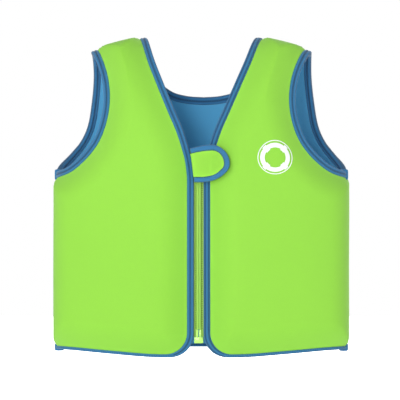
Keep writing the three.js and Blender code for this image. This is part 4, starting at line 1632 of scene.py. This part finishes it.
@dataclass
class Flap:
    """The flap over the top of the zip: backing, outer fabric and a rolled edge tape."""

    left_panel: PanelSet
    reach: float = 32.0
    top: float = 223.0
    bottom: float = 184.0
    tape: float = 5.6
    backing: float = 1.2
    gap: float = 0.3
    patch: float = 1.0
    root: float = -4.4
    root_slope: float = 0.118
    root_ramp: float = 1.2
    root_clear: float = 5.8
    clear: float = 7.2
    nose_start: float = 14.0
    climb: float = 0.76
    easing: float = 1.3
    straight: float = 0.45
    droop: float = 3.6
    taper: float = 3.2
    spacing: float = 1.2
    pile: float = 1 / 2.1
    map_around: float = 0.018
    patch_box: tuple[float, float, float, float] = (17.1, 27.1, 193.0, 210.0)

    def root_at(self, height: np.ndarray) -> np.ndarray:
        """Girth of the root at a height."""
        return self.root - self.root_slope * (height - self.bottom)

    def shell_top(self, places: np.ndarray) -> np.ndarray:
        """Lift of the left front's face."""
        flat = places.reshape(-1, 2)
        return self.left_panel.outer_lift(flat).reshape(places.shape[:-1])

    def underside(self, places: np.ndarray) -> np.ndarray:
        """Lift of the flap's underside, eased where it climbs from the zip to the left front."""
        share = np.clip((places[..., 0] - self.root_at(places[..., 1])) / self.root_ramp, 0, 1)
        over_zip = self.root_clear + (self.clear - self.root_clear) * share
        stack = 3 * self.gap + 2 * self.patch + 0.3
        border = CUT.front_neck.places
        edge = np.interp(places[..., 1], border[:, 1], border[:, 0])
        short = np.maximum(edge - places[..., 0], 0)
        inside = np.stack([places[..., 0] + short, places[..., 1]], axis=-1)
        front = self.shell_top(inside) + stack - self.climb * short
        eased = np.sqrt((over_zip - front) ** 2 + self.easing**2) - self.easing * 0.3
        return np.maximum(np.maximum(over_zip, front), (over_zip + front + eased) / 2)

    def place(self, along: np.ndarray, up: np.ndarray, inset: float) -> np.ndarray:
        """Places of the flap: along from root to nose, up from -1 to 1."""
        middle, half = (self.top + self.bottom) / 2, (self.top - self.bottom) / 2 - inset
        reach = self.reach - inset
        start = self.root_at(middle + up * half)
        near = start + (self.nose_start - start) * along / self.straight
        x = np.clip((along - self.straight) / (1 - self.straight), 0, 1)
        far = self.nose_start + (reach - self.nose_start) * x * np.sqrt(1 - up**2 / 2)
        girth = np.where(along <= self.straight, near, far)
        height = middle + up * half * np.sqrt(1 - x**2 / 2)
        fall = np.clip(1 - (girth - start) / 22.0, 0, 1) ** 1.6
        height = height - self.droop * np.clip(up, 0, 1) ** 2 * fall
        rise = np.clip((girth - 4.0) / 20.0, 0, 1)
        height = height + self.taper * np.clip(-up, 0, 1) * rise * rise * (3 - 2 * rise)
        return np.stack([girth, height], axis=-1)

    def layer(
        self, name: str, node: str, finish: Finish, slot: str, low: float, high: float, puff: float
    ) -> bpy.types.Object:
        """Builds one fabric layer of the flap.

        Args:
            name: Name of the piece.
            node: The frame's node that it replaces.
            finish: Its finish.
            slot: The record's material slot.
            low: Lift of its under face over the flap's underside.
            high: Lift of its upper face.
            puff: How far its middle swells.

        Returns:
            The layer.
        """
        bm = slab(44, 36)
        grid = corners(bm)
        along, up = crowded(grid[:, 0], 0.3), 2 * crowded(grid[:, 1], 0.4) - 1
        places = self.place(along, up, self.tape + self.gap / 2)
        crown = np.clip(1 - np.abs(up) ** 3, 0, 1) * np.clip(1 - (2 * along - 1) ** 4, 0, 1)
        over = self.underside(places) + crown * puff
        lift = by_face(grid, over + high, over + low)
        move_to(bm, vest_metres(WALL.on(places[:, 0], places[:, 1], lift)))
        write_map(bm, places * MM)
        piece = finished(name, bm, finish, slot)
        # The outer fabric's finish paints a highlight towards the flap's edges.
        mark(piece, "near_edge", (1 - crown) ** 2)
        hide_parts(node)
        return hold(piece, Hold.TAB)

    def outline(self) -> Line:
        """The flap's outer edge from the root's foot round the nose to the root's head."""
        share = np.linspace(0, 1, 200)
        one = np.ones_like(share)
        low = self.place(share, -one, 0.0)
        nose = self.place(one, 2 * share - 1, 0.0)
        high = self.place(share[::-1], one, 0.0)
        return Line(np.vstack([low, nose[1:], high[1:]]))

    def edge_tape(self) -> list[bpy.types.Object]:
        """The rolled tape round the flap, and its stitches."""
        line = self.outline()
        count = int(line.length[-1] / self.spacing)
        places = line.at(np.linspace(0, 1, count + 1))
        along = unit(np.gradient(places, axis=0))
        inward = np.stack([-along[:, 1], along[:, 0]], axis=1)
        bm, around, angle, share = swept(26, count)
        station = share * count
        low, high = -0.3, self.backing + self.gap + LAYERS.shell + 0.5
        across = self.tape * (0.5 + 0.5 * squared(np.cos(angle), 0.85))
        rolled = (low + high) / 2 + (high - low) / 2 * squared(np.sin(angle), 0.8)
        number = np.arange(count + 1)

        def spot(where: np.ndarray, reach: np.ndarray, lift: np.ndarray) -> np.ndarray:
            """Points at a reach inwards from the edge and a lift over the underside."""
            at = read(where, number, places) + read(where, number, inward) * reach[:, None]
            at[:, 0] = np.maximum(at[:, 0], self.root_at(at[:, 1]))
            return WALL.on(at[:, 0], at[:, 1], self.underside(at) + lift)

        move_to(bm, vest_metres(spot(station, across, rolled)))
        write_map(bm, np.stack([around * self.map_around, station * self.spacing * MM], axis=1))
        close_bar(bm)
        tape = finished("flap_edge_tape", bm, Finish.PIPING, "binding_tape", sharp=70)
        # Painted shade along the flap tape's two edges.
        write_painted_shade(tape, self.map_around, edge_shade)
        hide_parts("tab_binding")
        where = np.linspace(1.5, count - 1.5, 3 * count)
        reach, lift = np.full_like(where, self.tape - 0.9), np.full_like(where, high - 0.55)
        seam = spot(where, reach, lift)
        row = Stitch(length=1.6, pitch=2.6, thread=0.28).row(seam, spot(where, reach, lift + 1) - seam)
        thread = sewn("flap_edge_tape_stitches", [row], Finish.THREAD)
        return [hold(piece, Hold.TAB) for piece in (tape, thread)]

    def fastener(self, name: str, node: str, finish: Finish, low: float, how: Hold) -> None:
        """Builds a hook or loop patch between the flap and the left front.

        Args:
            name: Name of the piece.
            node: The frame's node that it replaces.
            finish: Its finish.
            low: Lift of its under face over the left front.
            how: What carries it.
        """
        bm = slab(20, 32)
        grid = corners(bm)
        girth0, girth1, height0, height1 = self.patch_box
        x, y = 2 * grid[:, 0] - 1, 2 * grid[:, 1] - 1
        x, y = x * np.sqrt(1 - 0.16 * y**6), y * np.sqrt(1 - 0.1 * x**6)
        girth = (girth0 + girth1) / 2 + x * (girth1 - girth0) / 2
        height = (height0 + height1) / 2 + y * (height1 - height0) / 2
        places = np.stack([girth, height], axis=1)
        pile = uneven(places, self.pile, self.pile, low)
        lift = self.shell_top(places) + low + by_face(grid, self.patch - 0.1 + 0.1 * pile, 0.0)
        move_to(bm, vest_metres(WALL.on(girth, height, lift)))
        write_map(bm, places * MM)
        piece = finished(name, bm, finish, "hook_loop")
        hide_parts(node)
        hold(piece, how, Side.LEFT)

    def build(self) -> None:
        """Builds the flap and its fastener."""
        high = self.backing + self.gap + LAYERS.shell
        self.layer("flap_inner", "tab_backing", Finish.LINING, "lining_fabric", 0, self.backing, 0.0)
        self.layer(
            "flap_outer", "tab_shell", Finish.OUTER, "outer_fabric", self.backing + self.gap, high, 0.9
        )
        self.edge_tape()
        low = self.gap + 0.1
        self.fastener("loop_fastener", "loop_patch", Finish.LOOP, low, Hold.HALF)
        self.fastener("hook_fastener", "hook_patch", Finish.HOOK, low + self.gap + self.patch, Hold.TAB)


# ---------------------------------------------------------------- chest mark


@dataclass
class ChestMark:
    """A plain white life ring printed on the wearer's left: ring, four bands and a grab line."""

    left_panel: PanelSet
    x: float = 77.0
    z: float = 210.0
    radius: float = 15.0
    band: float = 4.5
    thick: float = 0.45
    clear: float = 0.12
    wrap_width: float = 4.6
    wrap_past: float = 1.1
    line_out: float = 2.2

    def on_chest(self, radius: np.ndarray, angle: np.ndarray, lift: np.ndarray) -> np.ndarray:
        """Points over the chest at a radius and angle round the mark's middle, in metres."""
        girth, height = WALL.seen_at(self.x, self.z)
        places = np.stack([girth + radius * np.cos(angle), height + radius * np.sin(angle)], axis=1)
        over = self.left_panel.outer_lift(places) + self.clear
        return vest_metres(WALL.on(places[:, 0], places[:, 1], over + lift))

    def ring(self, name: str, middle: float, half: float, thick: float) -> bpy.types.Object:
        """A flat ring of film."""
        bm, _, angle, share = swept(12, 120)
        radius = middle + half * squared(np.cos(angle), 0.5)
        lift = thick * (0.5 + 0.5 * squared(np.sin(angle), 0.5))
        points = self.on_chest(radius, 2 * math.pi * (share % 1.0), lift)
        move_to(bm, points)
        write_map(bm, points[:, [0, 2]])
        bmesh.ops.remove_doubles(bm, verts=bm.verts, dist=1e-6)
        return finished(name, bm, Finish.PRINT, "print_ink", sharp=60)

    def wrap(self, number: int) -> bpy.types.Object:
        """One of the four bands across the ring."""
        bm = slab(10, 10)
        grid = corners(bm)
        inner, outer = self.radius - self.band - self.wrap_past, self.radius + self.wrap_past
        radius = inner + (outer - inner) * grid[:, 0]
        angle = math.pi * (0.25 + 0.5 * number) + (grid[:, 1] - 0.5) * self.wrap_width / radius
        lift = by_face(grid, self.thick + 0.25, self.thick + 0.05)
        points = self.on_chest(radius, angle, lift)
        move_to(bm, points)
        write_map(bm, points[:, [0, 2]])
        return finished(f"chest_ring_band_{number + 1}", bm, Finish.PRINT, "print_ink")

    def build(self) -> None:
        """Builds the mark and ties it to the left front."""
        middle = self.radius - self.band / 2
        ring = self.ring("chest_ring", middle, self.band / 2, self.thick)
        line = self.ring("chest_ring_line", self.radius + self.line_out, 0.45, self.thick)
        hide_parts("chest_print")
        for piece in (ring, line, *(self.wrap(number) for number in range(4))):
            hold(piece, Hold.HALF, Side.LEFT)


# ---------------------------------------------------------------- room, light and camera


@dataclass
class Studio:
    """A pale floor, even white light and a long lens."""

    azimuth: float = 3.2
    distance: float = 8.0
    frame_width: float = 0.4216
    aim: tuple[float, float, float] = (-0.0014, 0.0, -0.1649)
    floor_drop: float = 0.05
    room_light: float = 0.42
    floor_glow: float = 0.28
    floor_size: float = 6.0
    lights_aim: tuple[float, float, float] = (0.0, 0.0, -0.16)

    def floor(self) -> None:
        """Lays the floor under the hanging vest."""
        bm = bmesh.new()
        bmesh.ops.create_grid(bm, x_segments=2, y_segments=2, size=self.floor_size)
        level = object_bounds()[0][2] - self.floor_drop
        bmesh.ops.translate(bm, verts=bm.verts, vec=(0, 0, level))
        mesh = bpy.data.meshes.new("floor")
        bm.to_mesh(mesh)
        bm.free()
        paint = Moulded("Pale floor", (0.94, 0.94, 0.94, 1.0), 0.9, grain=30, bump=0.00001)
        finish = paint.make()
        shader = finish.node_tree.nodes["Principled BSDF"]
        shader.inputs["Emission Color"].default_value = (1.0, 1.0, 1.0, 1.0)
        tree = Tree(finish.node_tree)
        seen = tree.add("ShaderNodeLightPath").outputs["Is Camera Ray"]
        glow = tree.math("MULTIPLY_ADD", seen, 1.0, self.floor_glow)
        tree.join(glow, shader.inputs["Emission Strength"])
        mesh.materials.append(finish)
        floor = bpy.data.objects.new("floor", mesh)
        bpy.context.scene.collection.objects.link(floor)
        floor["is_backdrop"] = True

    def panel_light(self, name: str, spot: Vector, size: float, power: float) -> None:
        """Hangs one soft square light that faces the vest."""
        light = bpy.data.lights.new(name, "AREA")
        light.size, light.energy = size, power
        lamp = bpy.data.objects.new(name, light)
        lamp.location = spot
        lamp.rotation_euler = (Vector(self.lights_aim) - spot).to_track_quat("-Z", "Y").to_euler()
        bpy.context.scene.collection.objects.link(lamp)

    def light(self) -> None:
        """Sets the white room and the soft lights."""
        world = bpy.data.worlds.new("white room")
        world.use_nodes = True
        tree = Tree(world.node_tree)
        seen = tree.add("ShaderNodeLightPath").outputs["Is Camera Ray"]
        room = world.node_tree.nodes["Background"]
        room.inputs[0].default_value = (1.0, 1.0, 1.0, 1.0)
        strength = tree.math("MULTIPLY_ADD", seen, 1.0 - self.room_light, self.room_light)
        tree.join(strength, room.inputs[1])
        bpy.context.scene.world = world
        self.panel_light("key", Vector((-1.1, -1.7, 0.9)), 1.4, 15.0)
        self.panel_light("front", Vector((-0.5, -3.5, 0.1)), 0.8, 36.0)
        self.panel_light("fill", Vector((1.6, -1.3, 0.2)), 1.6, 7.0)
        self.panel_light("back", Vector((0.4, 2.6, 0.7)), 2.0, 42.0)
        view = bpy.context.scene.view_settings
        view.view_transform, view.look = "Standard", "None"

    def camera(self) -> None:
        """Stands the camera before the vest."""
        lens = bpy.data.cameras.new("camera")
        lens.sensor_width = 36.0
        lens.lens = 36.0 * self.distance / self.frame_width
        lens.clip_start, lens.clip_end = 0.05, 50.0
        camera = bpy.data.objects.new("camera", lens)
        turn = math.radians(self.azimuth)
        away = Vector((math.sin(turn), -math.cos(turn), 0.0))
        aim = Vector(self.aim)
        camera.location = aim + away * self.distance
        camera.rotation_euler = (-away).to_track_quat("-Z", "Y").to_euler()
        bpy.context.scene.collection.objects.link(camera)
        bpy.context.scene.camera = camera

    def build(self) -> None:
        """Builds the room."""
        self.floor()
        self.light()
        self.camera()


def main() -> None:
    """Builds the vest and the room."""
    logging.basicConfig(level=logging.INFO, format="%(message)s")
    for start_group in (knit_group, twill_group, handling_group):
        start_group()
    Studio().build()
    right = PanelSet(FRONT, Side.RIGHT, seed=1.3)
    left = PanelSet(FRONT, Side.LEFT, seed=4.1)
    for panel_set in (right, left, PanelSet(BACK, Side.LEFT, seed=8.7)):
        panel_set.build()
    Bindings().build()
    Seams().build()
    Zip().build()
    for fitting in FITTINGS:
        fitting.build()
    Flap(left).build()
    ChestMark(left).build()


if __name__ == "__main__":
    main()
